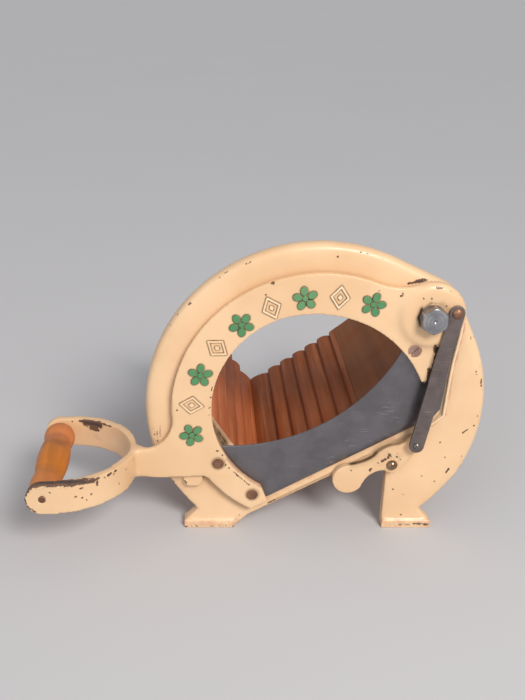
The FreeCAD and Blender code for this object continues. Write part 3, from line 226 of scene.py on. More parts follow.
def softened(node, name, grain, passes, broad=0, eased=(), **wear_and_shade):
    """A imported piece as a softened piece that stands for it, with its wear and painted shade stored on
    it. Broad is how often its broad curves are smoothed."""
    piece = new_piece(name, packed_shape(node))
    soften(piece, grain, passes)
    if broad:
        fair(piece, broad, eased)
    kept_inside(piece, node)
    store_wear_and_shade(piece, **wear_and_shade)
    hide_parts(node)
    return piece


def store_wear_and_shade(piece, rubs=(), thins=(), stains=(), grimes=(), marks=()):
    """Stores a piece's wear and painted shade on its points: edge is where it stands proud, hollow where it
    lies sunk in a corner, dirt where grime and painted shade darken it, worn where it is rubbed bare, thin
    where the undercoat shows and stain where rust has run."""
    skin = Skin(piece.data)
    bend = skin.bend()
    for _ in range(EVENED_BENDS):
        bend = skin.average(bend)
    skin.keep("edge", smooth_step(bend, *EDGE_BEND))
    skin.keep("hollow", smooth_step(-bend, *HOLLOW_BEND))
    refine(piece, rubs)
    skin = Skin(piece.data)
    places = skin.points()
    # Dark lines of painted shade and grime, and dirt round raised marks
    dirt_and_shade = rubbed(places, grimes)
    if marks:
        dirt_and_shade = numpy.maximum(dirt_and_shade, dirt_round(marks, places))
    skin.keep("dirt_and_shade", dirt_and_shade)
    skin.keep("worn", rubbed(unsteady(places) if rubs else places, rubs))
    skin.keep("thin", rubbed(places, thins))
    skin.keep("stain", rubbed(places, stains))


def refine(piece, rubs):
    """Splits the faces under the rubs, so that small chips keep a sharp outline."""
    if not rubs:
        return
    shape = bmesh.new()
    shape.from_mesh(piece.data)
    places = Skin(piece.data).points()
    wide = [(start, end, width + REFINED_ROOM, 1.0) for start, end, width, _ in rubs]
    near = rubbed(places, wide) > ONE_WIDTH_AWAY
    chosen = [edge for edge in shape.edges if near[edge.verts[0].index] and near[edge.verts[1].index]]
    bmesh.ops.subdivide_edges(shape, edges=chosen, cuts=REFINED_CUTS, use_grid_fill=True)
    shape.to_mesh(piece.data)
    shape.free()


def dirt_round(marks, places):
    """The dirt left round raised marks, strongest against them."""
    points = [vertex.co.copy() for mark in marks for vertex in mark.data.vertices]
    tree = kdtree.KDTree(len(points))
    for index, point in enumerate(points):
        tree.insert(point, index)
    tree.balance()
    gaps = numpy.array([tree.find(Vector(place))[2] for place in places])
    return 1 - smooth_step(gaps, *DIRT_ROUND_MARKS)


# Boards and blade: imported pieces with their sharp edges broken

FLAT_ANGLE = math.radians(0.5)
SHARP_ANGLE = math.radians(18)
ROUND_SEGMENTS = 4
CORNER_SHARE = 0.6


def tag_rounds(shape, made, name):
    """Marks the points inside new rounds, for the finishes to read."""
    layer = shape.verts.layers.float.get(name) or shape.verts.layers.float.new(name)
    rounds = set(made["faces"])
    for vertex in made["verts"]:
        if vertex.is_valid and all(face in rounds for face in vertex.link_faces):
            vertex[layer] = 1


def bevelled(node, name, width):
    """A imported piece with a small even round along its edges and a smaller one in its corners."""
    shape = packed_shape(node)
    bmesh.ops.dissolve_limit(shape, angle_limit=FLAT_ANGLE, verts=shape.verts, edges=shape.edges)
    for convex, label, reach in ((True, "edge", width), (False, "hollow", width * CORNER_SHARE)):
        sharp = [
            edge for edge in shape.edges
            if edge.is_manifold and edge.is_convex == convex and edge.calc_face_angle() > SHARP_ANGLE
        ]
        made = bmesh.ops.bevel(
            shape, geom=sharp, offset=reach, segments=ROUND_SEGMENTS,
            profile=0.5, affect="EDGES", material=-1,
        )
        tag_rounds(shape, made, label)
    piece = new_piece(name, shape)
    smooth_shaded(piece.data)
    kept_inside(piece, node)
    piece.modifiers.new("even_light", "WEIGHTED_NORMAL")
    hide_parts(node)
    return piece


# Nodes of the finishes


class Bench:
    """Lays the nodes of one tree. Each call gives back the socket that carries its result."""

    def __init__(self, tree):
        self.tree = tree

    def lay(self, kind, inputs=(), result=0, **settings):
        node = self.tree.nodes.new("ShaderNode" + kind)
        for name, value in settings.items():
            setattr(node, name, value)
        for name, value in dict(inputs).items():
            self.feed(node.inputs[name], value)
        return node.outputs[result]

    def feed(self, socket, value):
        if isinstance(value, bpy.types.NodeSocket):
            self.tree.links.new(value, socket)
        elif isinstance(value, tuple) and len(value) == 3 and socket.type == "RGBA":
            socket.default_value = (*value, 1)
        else:
            socket.default_value = value

    def place(self):
        return self.lay("TexCoord", result="Object")

    def stored(self, name):
        """A number that the piece keeps at each of its points."""
        return self.lay("Attribute", result="Fac", attribute_name=name)

    def turned(self, place, turn=(0, 0, 0), stretch=(1, 1, 1)):
        rotation = tuple(math.radians(angle) for angle in turn)
        return self.lay("Mapping", {"Vector": place, "Rotation": rotation, "Scale": stretch})

    def moved(self, place, shift, operation):
        """A place with another added to it or taken from it."""
        return self.lay("VectorMath", {0: place, 1: shift}, operation=operation)

    def clouds(self, place, scale, detail=2, roughness=0.5, distortion=0, result=0):
        """Soft clouds, smaller where the scale is higher."""
        inputs = {"Vector": place, "Scale": scale, "Detail": detail}
        inputs.update({"Roughness": roughness, "Distortion": distortion})
        return self.lay("TexNoise", inputs, result=result)

    def noise(self, place, size, detail=2, roughness=0.5):
        """Clouds whose patches are about size across."""
        return self.clouds(place, 1 / size, detail, roughness)

    def ramp(self, value, low, high):
        """A mask: 0 where a value is below low, 1 where it is above high."""
        inputs = {"Value": value, "From Min": low, "From Max": high}
        return self.lay("MapRange", inputs, interpolation_type="SMOOTHSTEP")

    def scaled(self, value, low, high):
        """A mask turned into a number between low and high."""
        return self.lay("MapRange", {"Value": value, "To Min": low, "To Max": high})

    def sums(self, operation, first, second):
        return self.lay("Math", {0: first, 1: second}, operation=operation)

    def times(self, first, second):
        return self.sums("MULTIPLY", first, second)

    def plus(self, first, second):
        return self.sums("ADD", first, second)

    def less(self, first, second):
        return self.sums("SUBTRACT", first, second)

    def more(self, first, *others):
        """The highest of several values."""
        for value in others:
            first = self.sums("MAXIMUM", first, value)
        return first

    def blend(self, mask, under, over):
        """One colour over another where the mask is 1."""
        inputs = {0: mask, 6: under, 7: over}
        return self.lay("Mix", inputs, result=2, data_type="RGBA")

    def relief(self, height, depth, under=None):
        """A normal from a height between 0 and 1 that is depth deep."""
        inputs = {"Height": height, "Distance": depth}
        if under is not None:
            inputs["Normal"] = under
        return self.lay("Bump", inputs)

    def use(self, group, **inputs):
        """Places a shared effect. Gives back its results by name."""
        node = self.tree.nodes.new("ShaderNodeGroup")
        node.node_tree = group
        for name, value in inputs.items():
            self.feed(node.inputs[name], value)
        return node.outputs


def shared_effect(name, takes, lay_out):
    """A node group. Takes are its inputs with their starting values, and lay_out gives its results."""
    group = bpy.data.node_groups.new(name, "ShaderNodeTree")
    for label, start in takes.items():
        kind = "NodeSocketVector" if start is None else "NodeSocketFloat"
        socket = group.interface.new_socket(label, in_out="INPUT", socket_type=kind)
        if start is not None:
            socket.default_value = start
    bench = Bench(group)
    source = group.nodes.new("NodeGroupInput")
    results = lay_out(bench, *[source.outputs[label] for label in takes])
    drain = group.nodes.new("NodeGroupOutput")
    for label, socket in results.items():
        group.interface.new_socket(label, in_out="OUTPUT", socket_type="NodeSocketFloat")
        group.links.new(socket, drain.inputs[label])
    return group


# Shared effects. A scale counts patches to the metre, and the radii of specks are shares of a cell.

CHIP_DETAIL = 1.1 * MM
BARE_LEVEL = (1.0, 1.04)
RIM_LEVEL = (0.92, 0.97)
SCUFF_LEVEL = (0.74, 0.98)
SPECK_UNREST_SCALE = 1400
SPECK_DRIFT = 1.1 * MM
SPECK_RADII = (0.05, 0.13)
GRAIN_STRETCH = (1, 0.045, 1)
PORES_TO_FIGURE = 7.0
SCRATCH_STRETCH = (0.07, 1, 1)
SCRATCH_TURNS_AND_SCALES = ((22, 520), (34, 760))
SCRATCH_PATCH = 12 * MM
RUST_PATCH = 3 * MM


def lay_chips(bench, place, worn, fineness):
    """Broken paint: bare where it has gone, rim along its broken edge and scuff where it is only dulled."""
    coarse = bench.clouds(place, fineness, detail=5, roughness=0.7)
    fine = bench.noise(place, CHIP_DETAIL, detail=3, roughness=0.6)
    unrest = bench.plus(bench.times(coarse, 0.7), bench.times(fine, 0.3))
    level = bench.plus(unrest, worn)
    bare = bench.ramp(level, *BARE_LEVEL)
    outer = bench.ramp(level, *RIM_LEVEL)
    scuff = bench.times(bench.ramp(level, *SCUFF_LEVEL), bench.ramp(fine, 0.42, 0.6))
    return {"Bare": bare, "Rim": bench.less(outer, bare), "Scuff": scuff}


def lay_specks(bench, place, closeness, share):
    """Small round knocks, scattered."""
    unrest = bench.clouds(place, SPECK_UNREST_SCALE, detail=1, result="Color")
    drift = bench.lay("VectorMath", {0: unrest, "Scale": SPECK_DRIFT}, operation="SCALE")
    cells = {"Vector": bench.moved(place, drift, "ADD"), "Scale": closeness}
    hues = bench.lay("TexVoronoi", cells, result="Color")
    chance = bench.lay("SeparateColor", {"Color": hues}, result="Red")
    size = bench.lay("SeparateColor", {"Color": hues}, result="Green")
    chosen = bench.ramp(bench.plus(chance, share), 0.995, 1.0)
    reach = bench.scaled(size, *SPECK_RADII)
    away = bench.lay("TexVoronoi", cells, result="Distance")
    inside = bench.ramp(bench.less(reach, away), 0.0, 0.02)
    return {"Speck": bench.times(inside, chosen)}


def lay_wood(bench, place, fineness):
    """Wood that runs along Y: figure for its broad streaks and pores for its fine lines."""
    long_way = bench.turned(place, stretch=GRAIN_STRETCH)
    sway = bench.clouds(long_way, fineness, detail=3, distortion=0.6)
    lines = bench.clouds(long_way, bench.times(fineness, PORES_TO_FIGURE), detail=3, roughness=0.7)
    return {"Figure": bench.ramp(sway, 0.3, 0.7), "Pores": bench.ramp(lines, 0.52, 0.72)}


def lay_scratches(bench, place, amount):
    """Fine bright lines, two ways across each other, in patches."""
    ways = []
    for turn, scale in SCRATCH_TURNS_AND_SCALES:
        line = bench.turned(place, turn=(0, turn, 0), stretch=SCRATCH_STRETCH)
        ways.append(bench.ramp(bench.clouds(line, scale, detail=3, roughness=0.7), 0.6, 0.68))
    patch = bench.ramp(bench.noise(place, SCRATCH_PATCH), 0.4, 0.55)
    return {"Scratch": bench.times(bench.times(bench.more(*ways), patch), amount)}


def lay_rust(bench, place, amount):
    """Mottled rust, more of it where amount is higher."""
    mottle = bench.noise(place, RUST_PATCH, detail=5, roughness=0.7)
    return {"Rust": bench.ramp(bench.plus(mottle, bench.times(amount, 0.5)), 0.55, 0.8)}


CHIPS = shared_effect("chipped_paint", {"Place": None, "Worn": 0.0, "Fineness": 300.0}, lay_chips)
SPECKS = shared_effect("specks", {"Place": None, "Closeness": 110.0, "Share": 0.5}, lay_specks)
WOOD = shared_effect("wood_along", {"Place": None, "Fineness": 90.0}, lay_wood)
SCRATCHES = shared_effect("fine_scratches", {"Place": None, "Amount": 1.0}, lay_scratches)
RUST = shared_effect("rust_mottle", {"Place": None, "Amount": 0.5}, lay_rust)


# Finishes. Colours are linear light.

CREAM = (0.84, 0.57, 0.34)
CREAM_DEEP = (0.76, 0.49, 0.275)
CREAM_PALE = (0.9, 0.7, 0.48)
UNDERCOAT = (0.62, 0.31, 0.2)
SCUFF = (0.34, 0.2, 0.1)
SMALL_CHIP = (0.15, 0.075, 0.04)
# Grime that also stands for painted shade in corners and shadowed gaps, and a near black for the deepest
# painted shade
GRIME_AND_SHADE = (0.12, 0.065, 0.03)
DEEP_SHADE_AND_GRIME = (0.03, 0.018, 0.012)
OLD_IRON = (0.05, 0.034, 0.036)
IRON_RUST = (0.12, 0.05, 0.028)
RUST_RUN = (0.26, 0.1, 0.04)
GREEN = (0.07, 0.24, 0.095)
GREEN_WORN = (0.13, 0.3, 0.13)
WORN_VARNISH = (0.6, 0.22, 0.11)


def surface(bench, colour, roughness, metal=0.0, normal=None, **sockets):
    """Ends a material in its Principled shader."""
    inputs = {"Base Color": colour, "Roughness": roughness, "Metallic": metal}
    if normal is not None:
        inputs["Normal"] = normal
    inputs.update({label.replace("_", " "): value for label, value in sockets.items()})
    shader = bench.lay("BsdfPrincipled", inputs, result="BSDF")
    output = bench.tree.nodes.new("ShaderNodeOutputMaterial")
    bench.tree.links.new(shader, output.inputs["Surface"])


def new_material(name):
    material = bpy.data.materials.new(name)
    material.use_nodes = True
    material.node_tree.nodes.clear()
    return material, Bench(material.node_tree)


# Enamel

TONE_PATCH = 70 * MM
THIN_PATCH = 9 * MM
DIRT_AND_SHADE_PATCH = 6 * MM
IRON_PATCH = 5 * MM
GLOSS_PATCH = 14 * MM
ENAMEL_GLOSS = (0.3, 0.46)
ENAMEL_THICKNESS = 0.22 * MM
ENAMEL_RIPPLE = 2.6 * MM
ENAMEL_RIPPLE_DEPTH = 0.05 * MM
CHIP_SCALE = 260.0
SPECK_SCALE = 105.0
SPECK_SHARE = 0.07


def enamel_coat(bench, place, light, deep):
    """The paint before it got dirty: two tones in clouds, and thin places where the undercoat shows."""
    colour = bench.blend(bench.ramp(bench.noise(place, TONE_PATCH, detail=3), 0.35, 0.7), light, deep)
    thin = bench.plus(bench.times(bench.stored("edge"), 0.28), bench.stored("thin"))
    cloud = bench.noise(place, THIN_PATCH, detail=4, roughness=0.6)
    patchy = bench.ramp(bench.plus(thin, cloud), 0.72, 1.05)
    return bench.blend(bench.times(patchy, 0.75), colour, UNDERCOAT)


def shade_dirt_and_rust(bench, place, colour):
    """Grime with painted shade in the corners and along the dark lines, near black where they are
    strongest, and rust that has run over the paint.
    """
    dirt_and_shade = bench.more(bench.times(bench.stored("hollow"), 0.95), bench.stored("dirt_and_shade"))
    dirt_and_shade = bench.times(dirt_and_shade, bench.scaled(bench.noise(place, DIRT_AND_SHADE_PATCH, detail=3), 0.5, 1.3))
    colour = bench.blend(dirt_and_shade, colour, GRIME_AND_SHADE)
    colour = bench.blend(bench.ramp(dirt_and_shade, 0.75, 1.15), colour, DEEP_SHADE_AND_GRIME)
    stain = bench.stored("stain")
    run = bench.use(RUST, Place=place, Amount=bench.times(stain, 1.6))["Rust"]
    return bench.blend(bench.times(run, bench.ramp(stain, 0.05, 0.5)), colour, RUST_RUN)


def chipped(bench, place, colour, chip_share):
    """The colour with its chips, and the mask of bare iron."""
    worn = bench.plus(bench.stored("worn"), bench.times(bench.stored("edge"), chip_share))
    chips = bench.use(CHIPS, Place=place, Worn=worn, Fineness=CHIP_SCALE)
    specks = bench.use(SPECKS, Place=place, Closeness=SPECK_SCALE, Share=SPECK_SHARE)["Speck"]
    bare = bench.more(chips["Bare"], specks)
    colour = bench.blend(bench.times(chips["Scuff"], 0.5), colour, SCUFF)
    colour = bench.blend(bench.times(chips["Rim"], 0.5), colour, CREAM_PALE)
    mottle = bench.ramp(bench.noise(place, IRON_PATCH, detail=4), 0.45, 0.65)
    iron = bench.blend(mottle, OLD_IRON, IRON_RUST)
    iron = bench.blend(bench.ramp(bench.stored("worn"), 0.8, 0.97), SMALL_CHIP, iron)
    return bench.blend(bare, colour, iron), bare


def enamel(name, light, deep, chip_share=0.2):
    """Old enamel on cast iron: uneven tone, a rippled skin, painted shade and dirt in corners and chips to
    the iron.
    """
    material, bench = new_material(name)
    place = bench.place()
    coat = enamel_coat(bench, place, light, deep)
    colour, bare = chipped(bench, place, shade_dirt_and_rust(bench, place, coat), chip_share)
    ripple = bench.relief(bench.noise(place, ENAMEL_RIPPLE), ENAMEL_RIPPLE_DEPTH)
    normal = bench.relief(bench.less(1.0, bare), ENAMEL_THICKNESS, ripple)
    gloss = bench.scaled(bench.noise(place, GLOSS_PATCH, detail=3), *ENAMEL_GLOSS)
    roughness = bench.plus(gloss, bench.times(bare, 0.2))
    surface(bench, colour, roughness, normal=normal, Coat_Weight=0.15, Coat_Roughness=0.2)
    return material


# Varnished wood

STREAK_STRETCH = (1, 0.03, 1)
STREAK_WIDTH = 5 * MM
BLOTCH = 40 * MM
GLOSS_SPREAD = 0.12
GRAIN_DEPTH = 0.035 * MM
FIGURE_SHADE = 0.72


def varnished_wood(name, dark, middle, light, fineness=60.0, gloss=0.45, streaks=0.6):
    """Varnished wood, its grain along the trough, paler on its edges, a painted highlight with rubbed
    varnish, and dark in its corners, painted shade with dirt.
    """
    material, bench = new_material(name)
    place = bench.place()
    grain = bench.use(WOOD, Place=place, Fineness=fineness)
    colour = bench.blend(grain["Figure"], middle, tuple(FIGURE_SHADE * share for share in middle))
    along = bench.turned(place, stretch=STREAK_STRETCH)
    streak = bench.ramp(bench.noise(along, STREAK_WIDTH, detail=3), 0.5, 0.75)
    covers = [
        (bench.times(streak, streaks), light),
        (bench.times(grain["Pores"], 0.4 * streaks), dark),
        # Paler on the edges: painted highlight with rubbed varnish. Darker in the corners and dark lines:
        # painted shade with dirt.
        (bench.times(bench.stored("edge"), 0.45), light),
        (bench.times(bench.stored("hollow"), 0.7), dark),
        (bench.times(bench.stored("thin"), 0.8), WORN_VARNISH),
        (bench.times(bench.stored("dirt_and_shade"), 0.85), dark),
    ]
    for mask, cover in covers:
        colour = bench.blend(mask, colour, cover)
    blotch = bench.ramp(bench.noise(place, BLOTCH, detail=3), 0.4, 0.7)
    roughness = bench.scaled(blotch, gloss, gloss + GLOSS_SPREAD)
    height = bench.plus(bench.times(grain["Pores"], 0.5), grain["Figure"])
    normal = bench.relief(height, GRAIN_DEPTH)
    surface(bench, colour, roughness, normal=normal, Specular_IOR_Level=0.18)
    return material


# Steel

CLOUD_PATCH = 14 * MM
STEEL_GRAIN = 0.7 * MM
STEEL_GRAIN_DEPTH = 0.03 * MM
RING_DEPTH = 0.12 * MM
BRIGHTENED = 1.8
WAVE_RATE = 20
SCORE_CORE = 0.3


def turned_rings(bench, place, centre, gap):
    """Fine rings left by the lathe round a place on the slicer's front."""
    middle = spot(centre[0], 0, centre[1])
    waves = 2 * math.pi / (WAVE_RATE * gap * MM)
    inputs = {"Vector": bench.moved(place, tuple(middle), "SUBTRACT"), "Scale": waves}
    inputs.update({"Distortion": 0.6, "Detail": 1, "Detail Scale": 0.2})
    return bench.lay("TexWave", inputs, result="Fac", wave_type="RINGS", rings_direction="Y")


def scored(bench, place, places):
    """Where the blade has been scored: patches, each a middle and a reach in millimetres."""
    patches = []
    for across, up, reach in places:
        middle = tuple(spot(across, 0, up))
        away = bench.lay("VectorMath", {0: place, 1: middle}, result="Value", operation="DISTANCE")
        patches.append(bench.less(1.0, bench.ramp(away, SCORE_CORE * reach * MM, reach * MM)))
    return bench.more(*patches)


def steel(name, light, dark, roughness, rust=0.2, scratches=0.4, metal=0.9, rings=None, scores=None):
    """Worn steel: cloudy tone, fine scratches, edges rubbed bright with a painted highlight along them, and
    some rust.
    """
    material, bench = new_material(name)
    place = bench.place()
    cloud = bench.ramp(bench.noise(place, CLOUD_PATCH, detail=3), 0.3, 0.7)
    colour = bench.blend(cloud, dark, light)
    bright = tuple(min(1, BRIGHTENED * share) for share in light)
    marks = bench.use(SCRATCHES, Place=place, Amount=scratches)["Scratch"]
    if scores:
        marks = bench.times(marks, bench.plus(bench.times(scored(bench, place, scores), 1.4), 0.15))
    # Bright edges: rubbed steel with a painted highlight
    rubbed_and_highlit = bench.more(marks, bench.times(bench.stored("edge"), 0.5))
    colour = bench.blend(rubbed_and_highlit, colour, bright)
    stain = bench.plus(bench.stored("stain"), rust)
    rusty = bench.use(RUST, Place=place, Amount=stain)["Rust"]
    colour = bench.blend(bench.times(rusty, bench.ramp(stain, 0.0, 0.6)), colour, IRON_RUST)
    shine = bench.less(metal, bench.times(rusty, bench.times(stain, 0.8)))
    grain = bench.noise(place, STEEL_GRAIN)
    rough = bench.plus(bench.scaled(cloud, roughness - 0.04, roughness + 0.05), bench.times(rusty, 0.2))
    normal = bench.relief(bench.less(grain, bench.times(marks, 0.5)), STEEL_GRAIN_DEPTH)
    if rings:
        turned = turned_rings(bench, place, *rings)
        colour = bench.blend(bench.times(turned, 0.5), colour, dark)
        normal = bench.relief(turned, RING_DEPTH, normal)
    surface(bench, colour, rough, metal=shine, normal=normal)
    return material


# The middle of the bolt's head and the gap between its rings. A score is across, up and its reach.
BOLT_MIDDLE = (91.5, 212.5)
BOLT_RING_GAP = 3.1
BLADE_SCORES = [(45, 96, 16), (64, 84, 20), (34, 92, 12), (66, 120, 16), (20, 68, 10)]

FINISHES = {
    "cream_paint": enamel("cream_enamel", CREAM, CREAM_DEEP),
    # A paler copy of the cream: a painted highlight for the bead along the sunk field
    "lit_cream_bead": enamel("lit_cream_bead_enamel", CREAM_PALE, CREAM),
    "cream_marks": enamel("cream_marks_enamel", CREAM, CREAM_PALE, chip_share=0.42),
    "green_paint": enamel("green_enamel", GREEN, GREEN_WORN, chip_share=0.34),
    "dark_board": varnished_wood(
        "red_brown_boards", dark=(0.05, 0.012, 0.004), middle=(0.33, 0.086, 0.02), light=(0.48, 0.17, 0.07)
    ),
    # A lighter copy of the board wood for the left board, painted light where it faces the lamps more than
    # the floor board
    "lit_left_board": varnished_wood(
        "lit_orange_brown_board", dark=(0.1, 0.025, 0.01), middle=(0.5, 0.135, 0.045), light=(0.66, 0.23, 0.1),
        streaks=0.75,
    ),
    "pale_board": varnished_wood(
        "tan_brown_board", dark=(0.07, 0.02, 0.006), middle=(0.25, 0.08, 0.021), light=(0.3, 0.1, 0.032),
        fineness=45.0, streaks=0.3,
    ),
    "grip_wood": varnished_wood(
        "orange_grip_wood", dark=(0.12, 0.06, 0.025), middle=(0.62, 0.2, 0.032), light=(0.7, 0.27, 0.055),
        gloss=0.36, streaks=0.35,
    ),
}
STEELS = {
    "plain_steel": dict(light=(0.4, 0.38, 0.36), dark=(0.25, 0.23, 0.21), roughness=0.42),
    "bright_steel": dict(
        light=(0.46, 0.455, 0.475), dark=(0.25, 0.25, 0.27), roughness=0.28, rust=0.05,
        rings=(BOLT_MIDDLE, BOLT_RING_GAP),
    ),
    "brown_steel": dict(
        light=(0.36, 0.19, 0.12), dark=(0.21, 0.105, 0.065), roughness=0.4, rust=0.3, metal=0.75
    ),
    "pale_steel": dict(
        light=(0.5, 0.33, 0.26), dark=(0.36, 0.22, 0.17), roughness=0.4, rust=0.2, metal=0.75
    ),
    "gold_steel": dict(light=(0.5, 0.36, 0.23), dark=(0.24, 0.155, 0.09), roughness=0.26, rust=0.25),
    "dark_steel": dict(light=(0.24, 0.21, 0.19), dark=(0.12, 0.105, 0.095), roughness=0.24, rust=0.1),
    "grey_steel": dict(light=(0.23, 0.19, 0.18), dark=(0.17, 0.14, 0.13), roughness=0.4, rust=0.12),
    "blade_steel": dict(
        light=(0.215, 0.205, 0.22), dark=(0.18, 0.17, 0.18), roughness=0.36, rust=0.04,
        scratches=1.0, scores=BLADE_SCORES,
    ),
}
FINISHES.update({name: steel(name, **look) for name, look in STEELS.items()})


def dress(piece, body, slot, finish=None):
    """Gives a new piece its finish and lets it move with its body."""
    piece.data.materials.clear()
    piece.data.materials.append(FINISHES[finish or slot])
    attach(piece, body)


# Raised marks on the face of the arm, along a circle that follows its bow

ARM_FACE = -8.8
MARK_RISE = 1.1
MARK_SUNK = 0.8
BAND_MIDDLE = (4.3, 114.7)
BAND_RADIUS = 113.4
MARK_COUNT = 9
FIRST_MARK_ANGLE = 188
LAST_MARK_ANGLE = 71
PETALS = 5
PETAL_RADIUS = 3.3 * MM
PETAL_STRETCH = (1.15, 0.92, 1)
PETAL_REACH = 6.6 * MM
BUTTON_RADIUS = 2.3 * MM
ROUND_SIDES = 24
LOZENGE_RADIUS = 10.5 * MM
LOZENGE_BORDER = 2.6 * MM
LOZENGE_HEART = 2.6 * MM
LOZENGE_STRETCH = (1, 0.78, 1)
MARK_GRAIN = 0.3 * MM
MARK_PASSES = 2


def raised(shape, faces, place, turn):
    """Lifts flat faces off the arm and sets them at their place on it, turned about the outward way."""
    lifted = bmesh.ops.extrude_face_region(shape, geom=faces)
    tops = [item for item in lifted["geom"] if isinstance(item, bmesh.types.BMVert)]
    bmesh.ops.translate(shape, verts=tops, vec=(0, 0, (MARK_RISE + MARK_SUNK) * MM))
    upright = Matrix.Rotation(turn, 4, "Y").inverted() @ Matrix.Rotation(math.pi / 2, 4, "X")
    where = Matrix.Translation(spot(place[0], ARM_FACE + MARK_SUNK, place[1]))
    bmesh.ops.transform(shape, verts=shape.verts, matrix=where @ upright)
    bmesh.ops.recalc_face_normals(shape, faces=shape.faces)


def joined_in(whole, part):
    """Adds one bmesh to another."""
    loose = bpy.data.meshes.new("loose")
    part.to_mesh(loose)
    part.free()
    whole.from_mesh(loose)
    bpy.data.meshes.remove(loose)


def rosette(place, turn):
    """Five petals round a button."""
    shape = bmesh.new()
    bmesh.ops.create_circle(shape, cap_ends=True, segments=ROUND_SIDES, radius=BUTTON_RADIUS)
    for petal in range(PETALS):
        leaf = bmesh.ops.create_circle(shape, cap_ends=True, segments=ROUND_SIDES, radius=PETAL_RADIUS)
        angle = 2 * math.pi * petal / PETALS
        bmesh.ops.scale(shape, verts=leaf["verts"], vec=PETAL_STRETCH)
        bmesh.ops.translate(shape, verts=leaf["verts"], vec=(PETAL_REACH, 0, 0))
        bmesh.ops.rotate(shape, verts=leaf["verts"], matrix=Matrix.Rotation(angle, 3, "Z"))
    raised(shape, shape.faces[:], place, turn)
    return shape


def lozenge(place, turn):
    """A diamond frame with a small diamond inside it."""
    shape = bmesh.new()
    bmesh.ops.create_circle(shape, cap_ends=True, segments=4, radius=LOZENGE_RADIUS)
    border = bmesh.ops.inset_region(
        shape, faces=shape.faces[:], thickness=LOZENGE_BORDER, use_boundary=True
    )["faces"]
    inner = [face for face in shape.faces if face not in border]
    bmesh.ops.delete(shape, geom=inner, context="FACES_ONLY")
    bmesh.ops.create_circle(shape, cap_ends=True, segments=4, radius=LOZENGE_HEART)
    bmesh.ops.scale(shape, verts=shape.verts, vec=LOZENGE_STRETCH)
    raised(shape, shape.faces[:], place, turn)
    return shape


def arm_marks():
    """Rosettes in green and lozenges in cream, by turns along the bow of the arm."""
    shapes = {rosette: bmesh.new(), lozenge: bmesh.new()}
    for index in range(MARK_COUNT):
        share = index / (MARK_COUNT - 1)
        angle = math.radians(FIRST_MARK_ANGLE + (LAST_MARK_ANGLE - FIRST_MARK_ANGLE) * share)
        across = BAND_MIDDLE[0] + BAND_RADIUS * math.cos(angle)
        up = BAND_MIDDLE[1] + BAND_RADIUS * math.sin(angle)
        kind = lozenge if index % 2 else rosette
        joined_in(shapes[kind], kind((across, up), angle))
    marks = [new_piece("green_rosettes", shapes[rosette]), new_piece("cream_lozenges", shapes[lozenge])]
    for mark in marks:
        soften(mark, MARK_GRAIN, MARK_PASSES)
        store_wear_and_shade(mark)
    return marks


rosettes, lozenges = arm_marks()
dress(rosettes, "arm", "cream_paint", "green_paint")
dress(lozenges, "arm", "cream_paint", "cream_marks")


# Wear of the castings. A rub is a stroke: where it starts and ends, its width and its strength.
# A dot is a rub at one place: across, out, up, width and strength.

RING_STEPS = 12


def dots(spots):
    """Rubs that stay at one place."""
    return [(dot[:3], dot[:3], *dot[3:]) for dot in spots]


def strokes(line, out, width, strength):
    """One stroke after another along a line of places, all at one depth."""
    places = [(across, out, up) for across, up in line]
    return [(start, end, width, strength) for start, end in zip(places, places[1:])]


def round_strokes(middle, radius, out, width, strength):
    """Strokes in a ring round a place."""
    angles = [2 * math.pi * step / RING_STEPS for step in range(RING_STEPS + 1)]
    line = [(middle[0] + radius * math.cos(turn), middle[1] + radius * math.sin(turn)) for turn in angles]
    return strokes(line, out, width, strength)


# Paint knocked off down to the iron

